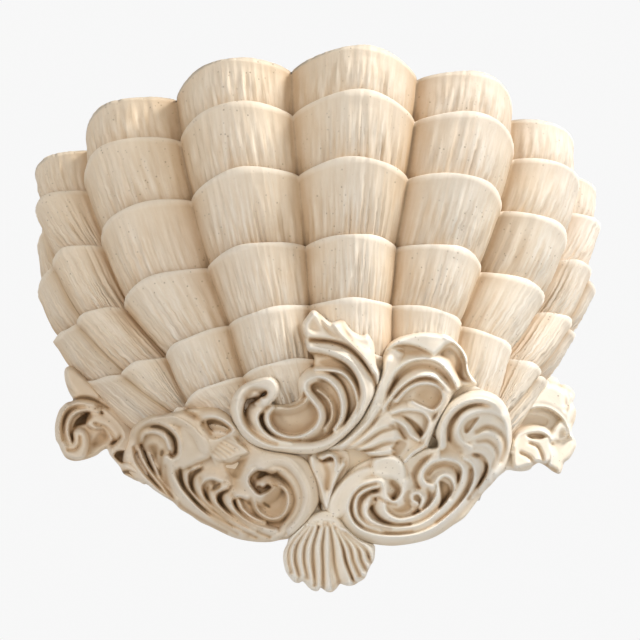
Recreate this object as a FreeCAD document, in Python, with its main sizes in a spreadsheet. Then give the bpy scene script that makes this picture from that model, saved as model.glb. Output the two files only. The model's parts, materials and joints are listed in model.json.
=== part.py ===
import FreeCAD, Part
import Sketcher
import math
import os
import re
from FreeCAD import Placement, Rotation, Vector

# Shell wall sconce: a hollow scallop bowl on a rocaille corbel, hung on a wall plate.
# The wall is the plane y = 0 and the sconce stands out along -Y. The origin is the centre
# of the two box-screw holes in the wall plate, so +Z is up and +X is to the right.

os.makedirs("parts", exist_ok=True)
doc = FreeCAD.newDocument("shell_wall_sconce")
sheet = doc.addObject("Spreadsheet::Sheet", "Sizes")

# ---------------------------------------------------------------- driving sizes (mm, degrees)
driving = {
    # bowl: each ring is the top edge of one tier, the last one is its foot
    "plan_power": 1.08, "lobe_sag": 0.34, "side_sag": 0.2,
    "rib_edge_1": 13.3, "rib_edge_2": 35.9, "rib_edge_3": 58.2,
    "ring_0_width": 186.6, "ring_1_width": 187.2, "ring_2_width": 174.1, "ring_3_width": 153.5,
    "ring_4_width": 128.4, "ring_5_width": 114.1, "ring_6_width": 84,
    "ring_0_depth": 181.4, "ring_1_depth": 179.6, "ring_2_depth": 170.2, "ring_3_depth": 147.8,
    "ring_4_depth": 138.7, "ring_5_depth": 130.7, "ring_6_depth": 112,
    "ring_0_level": 81.6, "ring_1_level": 50.3, "ring_2_level": 14.6, "ring_3_level": -21.1,
    "ring_4_level": -55.7, "ring_5_level": -88, "ring_6_level": -114,
    "ring_0_heel": 2, "ring_1_heel": 2, "ring_2_heel": 4, "ring_3_heel": 12,
    "ring_4_heel": 26, "ring_5_heel": 42, "ring_6_heel": 50,
    "ring_0_lean": 0.11, "ring_1_lean": 0.108, "ring_2_lean": 0.126, "ring_3_lean": 0.158,
    "ring_4_lean": 0.224, "ring_5_lean": 0.339, "ring_6_lean": 0.22,
    # how far each scallop's middle rises above its corners, for each unit of its width
    "ring_0_arch": 0, "ring_1_arch": 0.02, "ring_2_arch": -0.02, "ring_3_arch": -0.08,
    "ring_4_arch": -0.14, "ring_5_arch": -0.13, "ring_6_arch": 0,
    # the last rib of each side faces sideways: its front corner, then its half width, its
    # distance and its rise at the wall
    "ring_0_side_x": 181, "ring_1_side_x": 180, "ring_2_side_x": 171, "ring_3_side_x": 158,
    "ring_4_side_x": 131, "ring_5_side_x": 105, "ring_6_side_x": 80,
    "ring_0_side_y": 36, "ring_1_side_y": 40, "ring_2_side_y": 57, "ring_3_side_y": 54,
    "ring_4_side_y": 61, "ring_5_side_y": 80, "ring_6_side_y": 72,
    "ring_0_end_x": 186, "ring_1_end_x": 187, "ring_2_end_x": 186, "ring_3_end_x": 176,
    "ring_4_end_x": 160, "ring_5_end_x": 114, "ring_6_end_x": 84,
    "ring_0_end_y": 8, "ring_1_end_y": 8, "ring_2_end_y": 8, "ring_3_end_y": 8,
    "ring_4_end_y": 10, "ring_5_end_y": 42, "ring_6_end_y": 50,
    "ring_0_rise": 0, "ring_1_rise": 4, "ring_2_rise": 12, "ring_3_rise": 20,
    "ring_4_rise": 30, "ring_5_rise": 0, "ring_6_rise": 0,
    "tier_step": 7, "tier_lap": 2,
    "bowl_wall": 14, "bowl_floor_rise": 12, "web_thickness": 18.5,
    "pad_thickness": 1.5, "pad_radius": 9,
    "pad_high_x": 150, "pad_high_z": 35, "pad_low_x": 45, "pad_low_z": -118,
    # console: the swelling body that carries the ornament, and how far the ornament stands out
    "console_top": -50, "console_drop": 150,
    "console_top_width": 150, "console_cover": 20.2,
    "console_top_depth": "= ring_3_depth + console_cover",
    "console_foot_width": 48, "console_foot_depth": 46,
    "console_width_power": 1.8, "console_depth_power": 1.4,
    "corbel_top": -100, "corbel_foot": -190,
    "ornament_relief": 20, "sight_angle": 25, "drawn_width": 150, "drawn_drop": 150,
    "scroll_low": 0, "spray_low": 2, "apron_low": 4, "leaf_low": 9, "ribbon_low": 8,
    "pendant_low": 6, "ear_depth": 34, "ear_thickness": 22,
    # wall plate and its hooks
    "plate_length": 120, "plate_height": 48, "sheet_thickness": 2,
    "box_hole_spacing": 88.9, "box_hole_radius": 2.5, "cable_hole_radius": 12,
    "hook_x": 48, "hook_width": 12, "hook_rise": 7, "hook_seat": 16, "hook_reach": 7.5,
    "slot_side_play": 0.5, "lift_travel": 8,
    "earth_screw_z": -16, "earth_head_radius": 3.5, "earth_head_height": 2.5,
    "earth_shank_radius": 2,
    # hanger strap cast against the back of the bowl
    "strap_length": 156, "strap_top": 30, "strap_bottom": -38, "strap_standoff": 5,
    "wire_hole_radius": 9,
    "pocket_play": 6, "hook_recess_depth": 4,
    "window_width": 64, "window_top": 28, "window_bottom": -40,
    "strap_screw_x": 70, "strap_screw_z": 16, "screw_radius": 2, "screw_length": 10,
    "screw_head_radius": 4, "screw_head_height": 2.2, "washer_radius": 4.8, "washer_thickness": 0.8,
    "insert_radius": 3.5, "insert_length": 10, "fit_play": 0.05,
    # lamp bracket and lampholder
    "bracket_width": 24, "bracket_top": -11, "arm_level": -36, "arm_length": 104,
    "lamp_y": -88, "rivet_radius": 2, "rivet_head_radius": 3.5, "rivet_head_height": 1.2,
    "rivet_z": -18, "rivet_x": 7,
    "holder_radius": 20, "holder_height": 38, "holder_bore_depth": 28, "holder_bore_radius": 14.6,
    "nipple_radius": 4.9, "nipple_bore": 3.5, "nipple_in_holder": 6, "nipple_below": 7,
    "nut_across_flats": 14, "nut_height": 4,
    "socket_radius": 14.5, "socket_wall": 1.1, "socket_height": 24, "contact_radius": 5,
    "contact_height": 4, "contact_gap": 0.3,
    "terminal_width": 36, "terminal_depth": 12, "terminal_height": 14, "terminal_bottom": 10,
    "terminal_screw_radius": 1.6, "terminal_screw_height": 1, "terminal_pitch": 16,
    "lead_radius": 1.1, "lead_bend": 9, "lead_drop": 20, "lead_height": -26, "lead_entry": 4,
    # lamp
    "cap_radius": 13, "cap_height": 24, "cap_wall": 0.6, "cap_tip_radius": 4.5,
    "cap_tip_height": 2, "insulator_height": 5, "bulb_radius": 24, "bulb_neck_radius": 12,
    "bulb_length": 64, "bulb_wall": 1, "stem_radius": 4, "stem_height": 20,
    "filament_radius": 0.9, "filament_length": 24, "filament_ring": 8,
}
for row, (name, value) in enumerate(driving.items(), 1):
    sheet.set(f"A{row}", name)
    sheet.set(f"B{row}", str(value))
    sheet.setAlias(f"B{row}", name)
doc.recompute()


def size(name):
    return float(sheet.get(name))


nodes = {}


def in_sheet(formula):
    """Writes each size named in a formula as its cell of the sheet."""
    return re.sub(r"[a-z]\w*", lambda word: f"Sizes.{word[0]}" if word[0] in driving else word[0],
                  formula)


def value_of(formula):
    return float(sheet.evalExpression(in_sheet(formula)))


def bind(thing, **formulas):
    """Ties properties of a piece to the sheet. x, y and z are its place."""
    for name, formula in formulas.items():
        target = f"Placement.Base.{name}" if name in ("x", "y", "z") else name
        thing.setExpression(target, in_sheet(formula))
    return thing


def keep(label, thing):
    """Names a finished piece."""
    thing.Label = label
    nodes[label] = thing
    return thing


def box(name, x, y, z, length, depth, height):
    """A block whose y is its wall side: it runs from there toward the room."""
    thing = doc.addObject("Part::Box", name)
    return bind(thing, x=x, y=f"{y} - ( {depth} )", z=z, Length=length, Width=depth, Height=height)


def upright(name, x, y, z, radius, height):
    thing = doc.addObject("Part::Cylinder", name)
    return bind(thing, x=x, y=y, z=z, Radius=radius, Height=height)


def outward(name, x, y, z, radius, length):
    """A cylinder that starts at x, y, z and runs toward the room."""
    thing = doc.addObject("Part::Cylinder", name)
    thing.Placement = Placement(Vector(0, 0, 0), Rotation(Vector(1, 0, 0), 90))
    return bind(thing, x=x, y=y, z=z, Radius=radius, Height=length)


def joined(name, pieces):
    thing = doc.addObject("Part::MultiFuse", name)
    thing.Shapes = pieces
    return thing


def without(name, base, tools):
    """The base with every tool cut away."""
    thing = doc.addObject("Part::Cut", name)
    thing.Base = base
    thing.Tool = tools[0] if len(tools) == 1 else joined(f"{name}_tools", tools)
    return thing


def group(label, pieces):
    thing = doc.addObject("Part::Compound", label)
    thing.Links = pieces
    return keep(label, thing)


def turned(label, profile, x, y, z):
    """A piece turned about its upright axis: profile holds (radius, height) formulas."""
    body = doc.addObject("PartDesign::Body", label)
    plane = next(item for item in body.Origin.OriginFeatures if item.Role == "XZ_Plane")
    sketch = body.newObject("Sketcher::SketchObject", f"{label}_profile")
    sketch.AttachmentSupport = [(plane, "")]
    sketch.MapMode = "FlatFace"
    corners = [Vector(value_of(radius), value_of(height), 0) for radius, height in profile]
    count = len(corners)
    for here, corner in enumerate(corners):
        sketch.addGeometry(Part.LineSegment(corner, corners[(here + 1) % count]), False)
    for here in range(count):
        sketch.addConstraint(Sketcher.Constraint("Coincident", here, 2, (here + 1) % count, 1))
    for here, sides in enumerate(profile):
        for kind, formula in zip(("DistanceX", "DistanceY"), sides):
            number = sketch.addConstraint(
                Sketcher.Constraint(kind, -1, 1, here, 1, value_of(formula)))
            sketch.setExpression(f"Constraints[{number}]", in_sheet(formula))
    spin = body.newObject("PartDesign::Revolution", f"{label}_turn")
    spin.Profile = sketch
    spin.ReferenceAxis = (sketch, ["V_Axis"])
    spin.Angle = 360
    return keep(label, bind(body, x=x, y=y, z=z))


def casting(label, shape):
    """A free-form casting, worked out from the sizes in the sheet."""
    thing = doc.addObject("Part::Feature", label)
    thing.Shape = shape
    return keep(label, thing)


# ---------------------------------------------------------------- bowl
tier_count = 6
rib_edges = [size(f"rib_edge_{number}") for number in (1, 2, 3)]
back = -size("pad_thickness")


def ring(number, inset=0, lift=0, wall=None):
    """One tier's edge: nine scallops round the front and sides, closed straight at the back.

    inset draws the scallops in and lift raises the ring. A ring of the hollow is flat, and
    wall is where its back lies.
    """
    def own(word):
        return size(f"ring_{number}_{word}")

    outer = wall is None
    wall = back if outer else wall

    def on_plane(x, y, rise=0):
        return Vector(x, y, own("level") + lift + rise - own("lean") * (y + own("depth")))

    half = []
    for edge in rib_edges:
        turn = math.radians(edge)
        x = (own("width") - inset) * math.sin(turn) ** size("plan_power")
        reach = own("depth") - inset - own("heel")
        half.append(on_plane(x, -own("heel") - reach * math.cos(turn) ** size("plan_power")))
    half.append(on_plane(own("side_x") - inset, -own("side_y")))
    end = min(-own("end_y"), wall - (0 if outer else 1))
    rise = own("rise") if outer else 0
    half.append(on_plane(own("end_x") - inset, end, rise))
    corners = [Vector(-corner.x, corner.y, corner.z) for corner in reversed(half)] + half
    sides = []
    last = len(corners) - 2
    for here in range(last + 1):
        start, stop = corners[here], corners[here + 1]
        chord = stop - start
        at_wall = here in (0, last)
        sag = size("side_sag" if at_wall else "lobe_sag")
        swell = Vector(sag * chord.y, -sag * chord.x, own("lean") * sag * chord.x)
        if outer and not at_wall:
            swell.z += own("arch") * math.hypot(chord.x, chord.y)
        sides.append(Part.Arc(start, (start + stop) / 2 + swell, stop).toShape())
    right, left = corners[-1], corners[0]
    right_back = on_plane(right.x, wall, rise)
    left_back = on_plane(left.x, wall, rise)
    sides.append(Part.makeLine(right, right_back))
    sides.append(Part.makeLine(right_back, left_back))
    sides.append(Part.makeLine(left_back, left))
    return Part.Wire(sides)


def stacked_tiers():
    """Cups set one in another: each flares up to its edge and starts inside the next one."""
    rings = []
    for number in range(tier_count):
        rings.append(ring(number))
        rings.append(ring(number + 1, size("tier_step"), size("tier_lap")))
    rings.append(ring(tier_count))
    return Part.makeLoft(rings, True, True)


def bowl_hollow():
    """The space the light fills, open at the top."""
    web = back - size("web_thickness")
    inset = size("bowl_wall")
    deep = inset + size("tier_step")
    rings = [ring(0, inset, size("ring_0_lean") * size("ring_0_depth") + size("lobe_sag") * 90, web)]
    rings.append(ring(0, inset, 0, web))
    rings += [ring(number, deep, 0, web) for number in (1, 2, 3)]
    rings.append(ring(4, deep, size("bowl_floor_rise"), web))
    return Part.makeLoft(rings, True, True)


def block(x0, x1, y0, y1, z0, z1):
    return Part.makeBox(x1 - x0, y1 - y0, z1 - z0, Vector(x0, y0, z0))


def back_pocket():
    """Room behind the web for the wall plate, the strap, its hooks and the lamp bracket."""
    play = size("pocket_play")
    strap_front = -size("strap_standoff") - size("sheet_thickness")
    reach = size("strap_length") / 2 + play
    pocket = block(-reach, reach, strap_front, 0, size("strap_bottom") - play - size("lift_travel"),
                   size("strap_top") + play)
    hook_half = size("hook_width") / 2 + play / 2
    hook_top = size("hook_seat") + size("hook_rise") + play / 2
    recesses = []
    for side in (-1, 1):
        middle = side * size("hook_x")
        recesses.append(block(middle - hook_half, middle + hook_half,
                              strap_front - size("hook_recess_depth"), 0,
                              hook_top - size("hook_rise") - 2 * size("lift_travel"), hook_top))
    window = block(-size("window_width") / 2, size("window_width") / 2,
                   back - size("web_thickness") - 1, 0, size("window_bottom"), size("window_top"))
    holes = []
    for x in (-size("strap_screw_x"), size("strap_screw_x")):
        for z in (-size("strap_screw_z"), size("strap_screw_z")):
            radius = size("insert_radius") + size("fit_play")
            length = size("insert_length") + size("fit_play")
            holes.append(Part.makeCylinder(radius, length, Vector(x, strap_front, z), Vector(0, -1, 0)))
    return [pocket, window] + recesses + holes


bowl_body = stacked_tiers()
casting("shell_bowl", bowl_body.cut([bowl_hollow()] + back_pocket()))


# ---------------------------------------------------------------- corbel and planted ornament
def console(inset, top, foot):
    """The swelling body under the bowl, drawn in by inset, between two levels."""
    sections = []
    section_count = 7
    for number in range(section_count):
        level = top + (foot - top) * number / (section_count - 1)
        fall = (size("console_top") - level) / size("console_drop")
        width = size("console_top_width") - inset
        width -= (size("console_top_width") - size("console_foot_width")) * \
            fall ** size("console_width_power")
        depth = size("console_top_depth") - inset
        depth -= (size("console_top_depth") - size("console_foot_depth")) * \
            fall ** size("console_depth_power")
        points = []
        for step in range(-6, 7):
            turn = math.radians(15 * step)
            points.append(Vector(width * math.sin(turn), back - (depth + back) * math.cos(turn), level))
        curve = Part.BSplineCurve()
        curve.interpolate(points)
        sections.append(Part.Wire([curve.toShape(), Part.makeLine(points[-1], points[0])]))
    return Part.makeLoft(sections, True, False)


sight = math.radians(size("sight_angle"))
sight_line = Vector(0, math.cos(sight), math.sin(sight))
sight_up = Vector(0, -math.sin(sight), math.cos(sight))


def largest(shape):
    return max(shape.Solids, key=lambda solid: solid.Volume)


def outline(points, place):
    """A closed flowing outline through its points."""
    widened = size("console_top_width") / size("drawn_width")
    lengthened = size("console_drop") / size("drawn_drop")
    places = [place(across * widened, up * lengthened) for across, up in points]
    curve = Part.BSplineCurve()
    curve.interpolate(Points=places, PeriodicFlag=True)
    return Part.Face(Part.Wire([curve.toShape()]))


def seen_as(points):
    """Everything behind and before an outline drawn square to the line of sight."""
    far = 2 * size("console_top_depth")
    face = outline(points, lambda across, up: Vector(across, 0, 0) + sight_up * up - sight_line * far)
    return face.extrude(sight_line * 2 * far)


foot = size("console_top") - size("console_drop")
under_ornament = console(size("ornament_relief"), size("console_top"), foot)
side = size("console_top_width")
core = under_ornament.common(block(-side, side, -size("console_top_depth"), 0,
                                   size("corbel_foot"), size("corbel_top")))
casting("corbel", largest(seen_as([
    (-98, -30), (-112, -76), (-92, -106), (-60, -124), (-22, -134), (0, -138), (22, -132),
    (60, -120), (92, -106), (110, -76), (98, -30)]).common(core).cut(bowl_body)))


def planted(label, low, points, neighbours):
    """Ornament that lies on the console and stands out from it by the relief."""
    skin = console(size(low), size("console_top"), foot)
    shape = seen_as(points).common(skin)
    for neighbour in [bowl_body, under_ornament] + neighbours:
        shape = shape.cut(neighbour)
    return casting(label, largest(shape)).Shape


def ear(label, points, neighbours):
    """A leaf that stands out sideways beside the corbel, its outline seen from the front."""
    front = back - size("ear_depth")
    face = outline(points, lambda across, up: Vector(across, front, up))
    shape = face.extrude(Vector(0, size("ear_thickness"), 0))
    for neighbour in [bowl_body, nodes["corbel"].Shape] + neighbours:
        shape = shape.cut(neighbour)
    return casting(label, largest(shape)).Shape


# the big C scroll, with its flame of three leaves at the upper right
scroll = planted("centre_scroll", "scroll_low", [
    (-50, -34), (-64, -39), (-73, -52), (-71, -66), (-57, -77), (-30, -81), (-8, -74),
    (4, -58), (8, -44), (6, -28), (6, -15), (-8, -2), (-28, 2), (-36, -8), (-32, -22),
    (-42, -34)], [])
spray = planted("acanthus_spray", "spray_low", [
    (-4, -78), (7, -62), (11, -44), (12, -28), (19, -14), (34, -9), (52, -10), (66, -22),
    (77, -39), (62, -40), (54, -50), (47, -60), (40, -72), (22, -78), (8, -86)], [scroll])
left_apron = planted("left_apron_scroll", "apron_low", [
    (-130, -82), (-122, -67), (-108, -63), (-96, -69), (-84, -80), (-66, -88), (-50, -84),
    (-34, -86), (-23, -103), (-26, -122), (-38, -137), (-64, -134), (-90, -122),
    (-112, -108), (-126, -96)], [scroll])
right_apron = planted("right_apron_scroll", "apron_low", [
    (-7, -110), (4, -94), (23, -85), (42, -92), (60, -82), (65, -64), (82, -52), (104, -56),
    (116, -80), (111, -102), (94, -118), (66, -128), (25, -136), (4, -131)],
    [scroll, spray, left_apron])
ornament = [scroll, spray, left_apron, right_apron]
centre_leaf = planted("centre_leaf", "leaf_low", [
    (-27, -78), (-5, -76), (0, -92), (-8, -117), (-20, -104)], ornament)
ornament.append(centre_leaf)
ribbon = planted("ribbon_fold", "ribbon_low", [
    (-88, -72), (-74, -60), (-58, -72), (-62, -86), (-80, -90)], ornament)
ornament.append(ribbon)
pendant = planted("pendant_shell", "pendant_low", [
    (-24, -112), (-35, -138), (-31, -156), (-17, -165), (-3, -168), (12, -161), (22, -144),
    (16, -130), (-4, -114)], ornament)
ornament.append(pendant)
left_ear = ear("left_ear_leaf", [
    (-174, -74), (-170, -98), (-158, -110), (-138, -114), (-112, -120), (-92, -104),
    (-108, -78), (-142, -66)], ornament)
right_ear = ear("right_ear_leaf", [
    (112, -120), (146, -112), (158, -120), (172, -97), (174, -66), (154, -54), (122, -68),
    (94, -98)], ornament)


# ---------------------------------------------------------------- pads between casting and wall
pads = []
for name, across, height in (("left_high", "- pad_high_x", "pad_high_z"),
                             ("right_high", "pad_high_x", "pad_high_z"),
                             ("left_low", "- pad_low_x", "pad_low_z"),
                             ("right_low", "pad_low_x", "pad_low_z")):
    pads.append(outward(f"{name}_pad", across, "0", height, "pad_radius", "pad_thickness"))
group("wall_pads", pads)


# ---------------------------------------------------------------- wall plate
plate = box("plate_blank", "- plate_length / 2", "0", "- plate_height / 2",
            "plate_length", "sheet_thickness", "plate_height")
hooks = []
holes = [outward("cable_hole", "0", "0", "0", "cable_hole_radius", "sheet_thickness"),
         outward("earth_hole", "0", "0", "earth_screw_z", "earth_shank_radius", "sheet_thickness")]
for name, sign in (("left", "-"), ("right", "")):
    middle = f"{sign} hook_x"
    hooks.append(box(f"{name}_hook_tab", f"{middle} - hook_width / 2", "- sheet_thickness",
                     "hook_seat - sheet_thickness", "hook_width",
                     "hook_reach", "sheet_thickness"))
    hooks.append(box(f"{name}_hook_tip", f"{middle} - hook_width / 2", "- hook_reach",
                     "hook_seat", "hook_width", "sheet_thickness", "hook_rise"))
    holes.append(outward(f"{name}_box_hole", f"{sign} box_hole_spacing / 2", "0", "0",
                         "box_hole_radius", "sheet_thickness"))
keep("wall_plate", without("plate_with_hooks", joined("plate_and_hooks", [plate] + hooks), holes))
keep("earth_screw", joined("earth_screw_body", [
    outward("earth_shank", "0", "0", "earth_screw_z", "earth_shank_radius", "sheet_thickness"),
    outward("earth_head", "0", "- sheet_thickness", "earth_screw_z", "earth_head_radius",
            "earth_head_height")]))


# ---------------------------------------------------------------- hanger strap and its screws
strap_blank = box("strap_blank", "- strap_length / 2", "- strap_standoff", "strap_bottom",
                  "strap_length", "sheet_thickness", "strap_top - strap_bottom")
strap_cuts = [outward("wire_hole", "0", "- strap_standoff", "0", "wire_hole_radius",
                      "sheet_thickness")]
for name, sign in (("left", "-"), ("right", "")):
    strap_cuts.append(box(f"{name}_slot", f"{sign} hook_x - hook_width / 2 - slot_side_play",
                          "- strap_standoff", "hook_seat - sheet_thickness - lift_travel",
                          "hook_width + 2 * slot_side_play", "sheet_thickness",
                          "lift_travel + sheet_thickness"))
corners = [(f"{side}_{end}", across, height)
           for side, across in (("left", "- strap_screw_x"), ("right", "strap_screw_x"))
           for end, height in (("low", "- strap_screw_z"), ("high", "strap_screw_z"))]
inserts = []
screws = []
washers = []
for name, across, height in corners:
    seat = "- strap_standoff - sheet_thickness"
    strap_cuts.append(outward(f"{name}_strap_hole", across, "- strap_standoff", height,
                              "screw_radius + fit_play", "sheet_thickness"))
    sleeve = outward(f"{name}_sleeve", across, seat, height, "insert_radius", "insert_length")
    thread = outward(f"{name}_thread", across, seat, height, "screw_radius + fit_play", "insert_length")
    inserts.append(without(f"{name}_insert", sleeve, [thread]))
    disc = outward(f"{name}_disc", across, "washer_thickness - strap_standoff", height,
                   "washer_radius", "washer_thickness")
    eye = outward(f"{name}_eye", across, "washer_thickness - strap_standoff", height,
                  "screw_radius + fit_play", "washer_thickness")
    washers.append(without(f"{name}_washer", disc, [eye]))
    shank = outward(f"{name}_shank", across, "washer_thickness - strap_standoff", height,
                    "screw_radius", "screw_length + washer_thickness")
    head = outward(f"{name}_head", across, "washer_thickness - strap_standoff + screw_head_height",
                   height, "screw_head_radius", "screw_head_height")
    screws.append(joined(f"{name}_screw", [shank, head]))
group("strap_inserts", inserts)
group("strap_screws", screws)
group("strap_washers", washers)


# ---------------------------------------------------------------- lamp bracket
leg = box("bracket_leg", "- bracket_width / 2", "- strap_standoff - sheet_thickness", "arm_level",
          "bracket_width", "sheet_thickness", "bracket_top - arm_level")
arm = box("bracket_arm", "- bracket_width / 2", "- strap_standoff - sheet_thickness", "arm_level",
          "bracket_width", "arm_length", "sheet_thickness")
bracket_cuts = [upright("nipple_hole", "0", "lamp_y", "arm_level", "nipple_radius + fit_play",
                        "sheet_thickness")]
rivets = []
for name, across in (("left", "- rivet_x"), ("right", "rivet_x")):
    strap_cuts.append(outward(f"{name}_rivet_hole", across, "- strap_standoff", "rivet_z",
                              "rivet_radius", "sheet_thickness"))
    bracket_cuts.append(outward(f"{name}_leg_hole", across, "- strap_standoff - sheet_thickness",
                                "rivet_z", "rivet_radius", "sheet_thickness"))
    rivets.append(joined(f"{name}_rivet", [
        outward(f"{name}_rivet_shank", across, "- strap_standoff", "rivet_z", "rivet_radius",
                "2 * sheet_thickness"),
        outward(f"{name}_rivet_back", across, "rivet_head_height - strap_standoff", "rivet_z",
                "rivet_head_radius", "rivet_head_height"),
        outward(f"{name}_rivet_front", across, "- strap_standoff - 2 * sheet_thickness", "rivet_z",
                "rivet_head_radius", "rivet_head_height")]))
keep("hanger_strap", without("strap", strap_blank, strap_cuts))
keep("lamp_bracket", without("bracket", joined("leg_and_arm", [leg, arm]), bracket_cuts))
group("bracket_rivets", rivets)


# ---------------------------------------------------------------- lampholder
arm_top = "arm_level + sheet_thickness"
turned("lampholder_blank", [
    ("nipple_radius + fit_play", "0"), ("holder_radius", "0"),
    ("holder_radius", "holder_height"), ("holder_bore_radius", "holder_height"),
    ("holder_bore_radius", "holder_height - holder_bore_depth"),
    ("nipple_radius + fit_play", "holder_height - holder_bore_depth")],
    "0", "lamp_y", arm_top)
lead_holes = []
for name, across in (("live", "- terminal_pitch / 2"), ("neutral", "terminal_pitch / 2")):
    hole = doc.addObject("Part::Cylinder", f"{name}_lead_hole")
    hole.Placement = Placement(Vector(0, 0, 0), Rotation(Vector(1, 0, 0), 90))
    bind(hole, x=across, y="lamp_y + holder_radius", z="lead_height",
         Radius="lead_radius + fit_play", Height="lead_entry + holder_radius / 8")
    lead_holes.append(hole)
holder = without("drilled_holder", nodes.pop("lampholder_blank"), lead_holes)
keep("lampholder_body", holder)
turned("lampholder_nipple", [
    ("nipple_bore", "- nipple_below"), ("nipple_radius", "- nipple_below"),
    ("nipple_radius", "sheet_thickness + nipple_in_holder"),
    ("nipple_bore", "sheet_thickness + nipple_in_holder")], "0", "lamp_y", "arm_level")
nut_blank = doc.addObject("Part::Prism", "nut_blank")
nut_blank.Polygon = 6
bind(nut_blank, x="0", y="lamp_y", z="arm_level - nut_height",
     Circumradius="nut_across_flats / sqrt(3)", Height="nut_height")
nut_eye = upright("nut_eye", "0", "lamp_y", "arm_level - nut_height", "nipple_radius + fit_play",
                  "nut_height")
keep("nipple_nut", without("nut", nut_blank, [nut_eye]))
bore_floor = f"{arm_top} + holder_height - holder_bore_depth"
turned("screw_shell", [
    ("socket_radius - socket_wall", "0"), ("socket_radius", "0"),
    ("socket_radius", "socket_height"), ("socket_radius - socket_wall", "socket_height")],
    "0", "lamp_y", bore_floor)
turned("centre_contact", [
    ("0", "0"), ("contact_radius", "0"), ("contact_radius", "contact_height / 3"),
    ("contact_radius / 2", "contact_height"), ("0", "contact_height")],
    "0", "lamp_y", bore_floor)


# ---------------------------------------------------------------- terminal block and leads
terminal_front = "- strap_standoff - sheet_thickness - terminal_depth"
block_blank = box("terminal_blank", "- terminal_width / 2", "- strap_standoff - sheet_thickness",
                  "terminal_bottom", "terminal_width", "terminal_depth", "terminal_height")
block_holes = []
clamp_screws = []
for name, across in (("live", "- terminal_pitch / 2"), ("neutral", "terminal_pitch / 2")):
    block_holes.append(upright(f"{name}_wire_hole", across,
                               "- strap_standoff - sheet_thickness - terminal_depth / 2",
                               "terminal_bottom", "lead_radius + fit_play", "lead_entry"))
    clamp_screws.append(outward(f"{name}_clamp", across, terminal_front,
                                "terminal_bottom + terminal_height / 2",
                                "terminal_screw_radius", "terminal_screw_height"))
keep("terminal_block", without("drilled_terminal", block_blank, block_holes))
group("terminal_screws", clamp_screws)


def lead(label, across):
    """An insulated wire: down out of the terminal, then along over the arm to the lampholder."""
    start_y = value_of("- strap_standoff - sheet_thickness - terminal_depth / 2")
    start = Vector(across, start_y, size("terminal_bottom") + size("lead_entry") - size("fit_play"))
    corner = Vector(across, start_y, size("lead_height"))
    inside = math.sqrt(size("holder_radius") ** 2 - across ** 2)
    end = Vector(across, size("lamp_y") + inside - size("lead_entry") / 2, size("lead_height"))
    bend = size("lead_bend")
    before = corner + Vector(0, 0, bend)
    after = corner + Vector(0, -bend, 0)
    middle = corner + Vector(0, -bend, bend) * (1 - math.sqrt(0.5))
    path = Part.Wire([Part.makeLine(start, before), Part.Arc(before, middle, after).toShape(),
                      Part.makeLine(after, end)])
    section = Part.Wire([Part.Circle(start, Vector(0, 0, 1), size("lead_radius")).toShape()])
    shape = path.makePipeShell([section], True, False)
    casting(label, shape)


lead("live_lead", -size("terminal_pitch") / 2)
lead("neutral_lead", size("terminal_pitch") / 2)


# ---------------------------------------------------------------- lamp
cap_floor = f"{bore_floor} + contact_height + contact_gap"
turned("bulb_contact", [
    ("0", "0"), ("cap_tip_radius / 2", "0"), ("cap_tip_radius", "cap_tip_height"),
    ("0", "cap_tip_height")], "0", "lamp_y", cap_floor)
turned("bulb_insulator", [
    ("0", "cap_tip_height"), ("cap_tip_radius", "cap_tip_height"),
    ("cap_radius - cap_wall", "cap_tip_height + insulator_height"),
    ("0", "cap_tip_height + insulator_height")], "0", "lamp_y", cap_floor)
cap_bottom = "cap_tip_height + insulator_height"
turned("bulb_cap", [
    ("cap_radius - cap_wall", cap_bottom), ("cap_radius", cap_bottom),
    ("cap_radius", f"{cap_bottom} + cap_height"),
    ("cap_radius - cap_wall", f"{cap_bottom} + cap_height")], "0", "lamp_y", cap_floor)


def bulb_glass():
    """A pear of glass of even wall: a ball that runs down into a straight neck."""
    foot_level = value_of(f"{cap_floor} + {cap_bottom} + cap_height")
    centre = foot_level + size("bulb_length") - size("bulb_radius")
    shells = []
    for inset in (0, size("bulb_wall")):
        radius = size("bulb_radius") - inset
        neck = size("bulb_neck_radius") - inset
        shoulder = centre - math.sqrt(size("bulb_radius") ** 2 - size("bulb_neck_radius") ** 2) * 0.8
        low = foot_level + inset
        ball = Part.makeSphere(radius, Vector(0, size("lamp_y"), centre))
        joint_radius = radius * math.sqrt(1 - ((centre - shoulder) / size("bulb_radius")) ** 2)
        flare = Part.makeCone(neck, joint_radius, shoulder - low, Vector(0, size("lamp_y"), low))
        shells.append(ball.fuse(flare))
    return shells[0].cut(shells[1])


casting("bulb_glass", bulb_glass())
glass_foot = f"{cap_floor} + {cap_bottom} + cap_height + bulb_wall"
turned("bulb_stem", [
    ("0", "0"), ("stem_radius * 2", "0"), ("stem_radius", "stem_height / 3"),
    ("stem_radius", "stem_height"), ("0", "stem_height")], "0", "lamp_y", glass_foot)
filaments = []
for name, across, along in (("left", "- filament_ring", "0"), ("right", "filament_ring", "0"),
                            ("near", "0", "- filament_ring"), ("far", "0", "filament_ring")):
    filaments.append(upright(f"{name}_filament", across, f"lamp_y + {along}",
                             f"{glass_foot} + stem_height", "filament_radius", "filament_length"))
spider = upright("filament_spider", "0", "lamp_y", f"{glass_foot} + stem_height",
                 "filament_ring + 2 * filament_radius", "filament_radius")
keep("bulb_filament", joined("filaments", filaments + [spider]))


# ---------------------------------------------------------------- check and write
doc.recompute()
for item in doc.Objects:
    if "Invalid" in item.State or "Error" in item.State:
        raise RuntimeError(f"{item.Label} failed: {item.State}")
for label, thing in nodes.items():
    if thing.Shape.isNull() or not thing.Shape.isValid() or not thing.Shape.Solids:
        raise RuntimeError(f"{label} is not a sound solid")
for label, thing in nodes.items():
    thing.Shape.exportStep(f"parts/{label}.step")
print(len(nodes), "pieces written")
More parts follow.
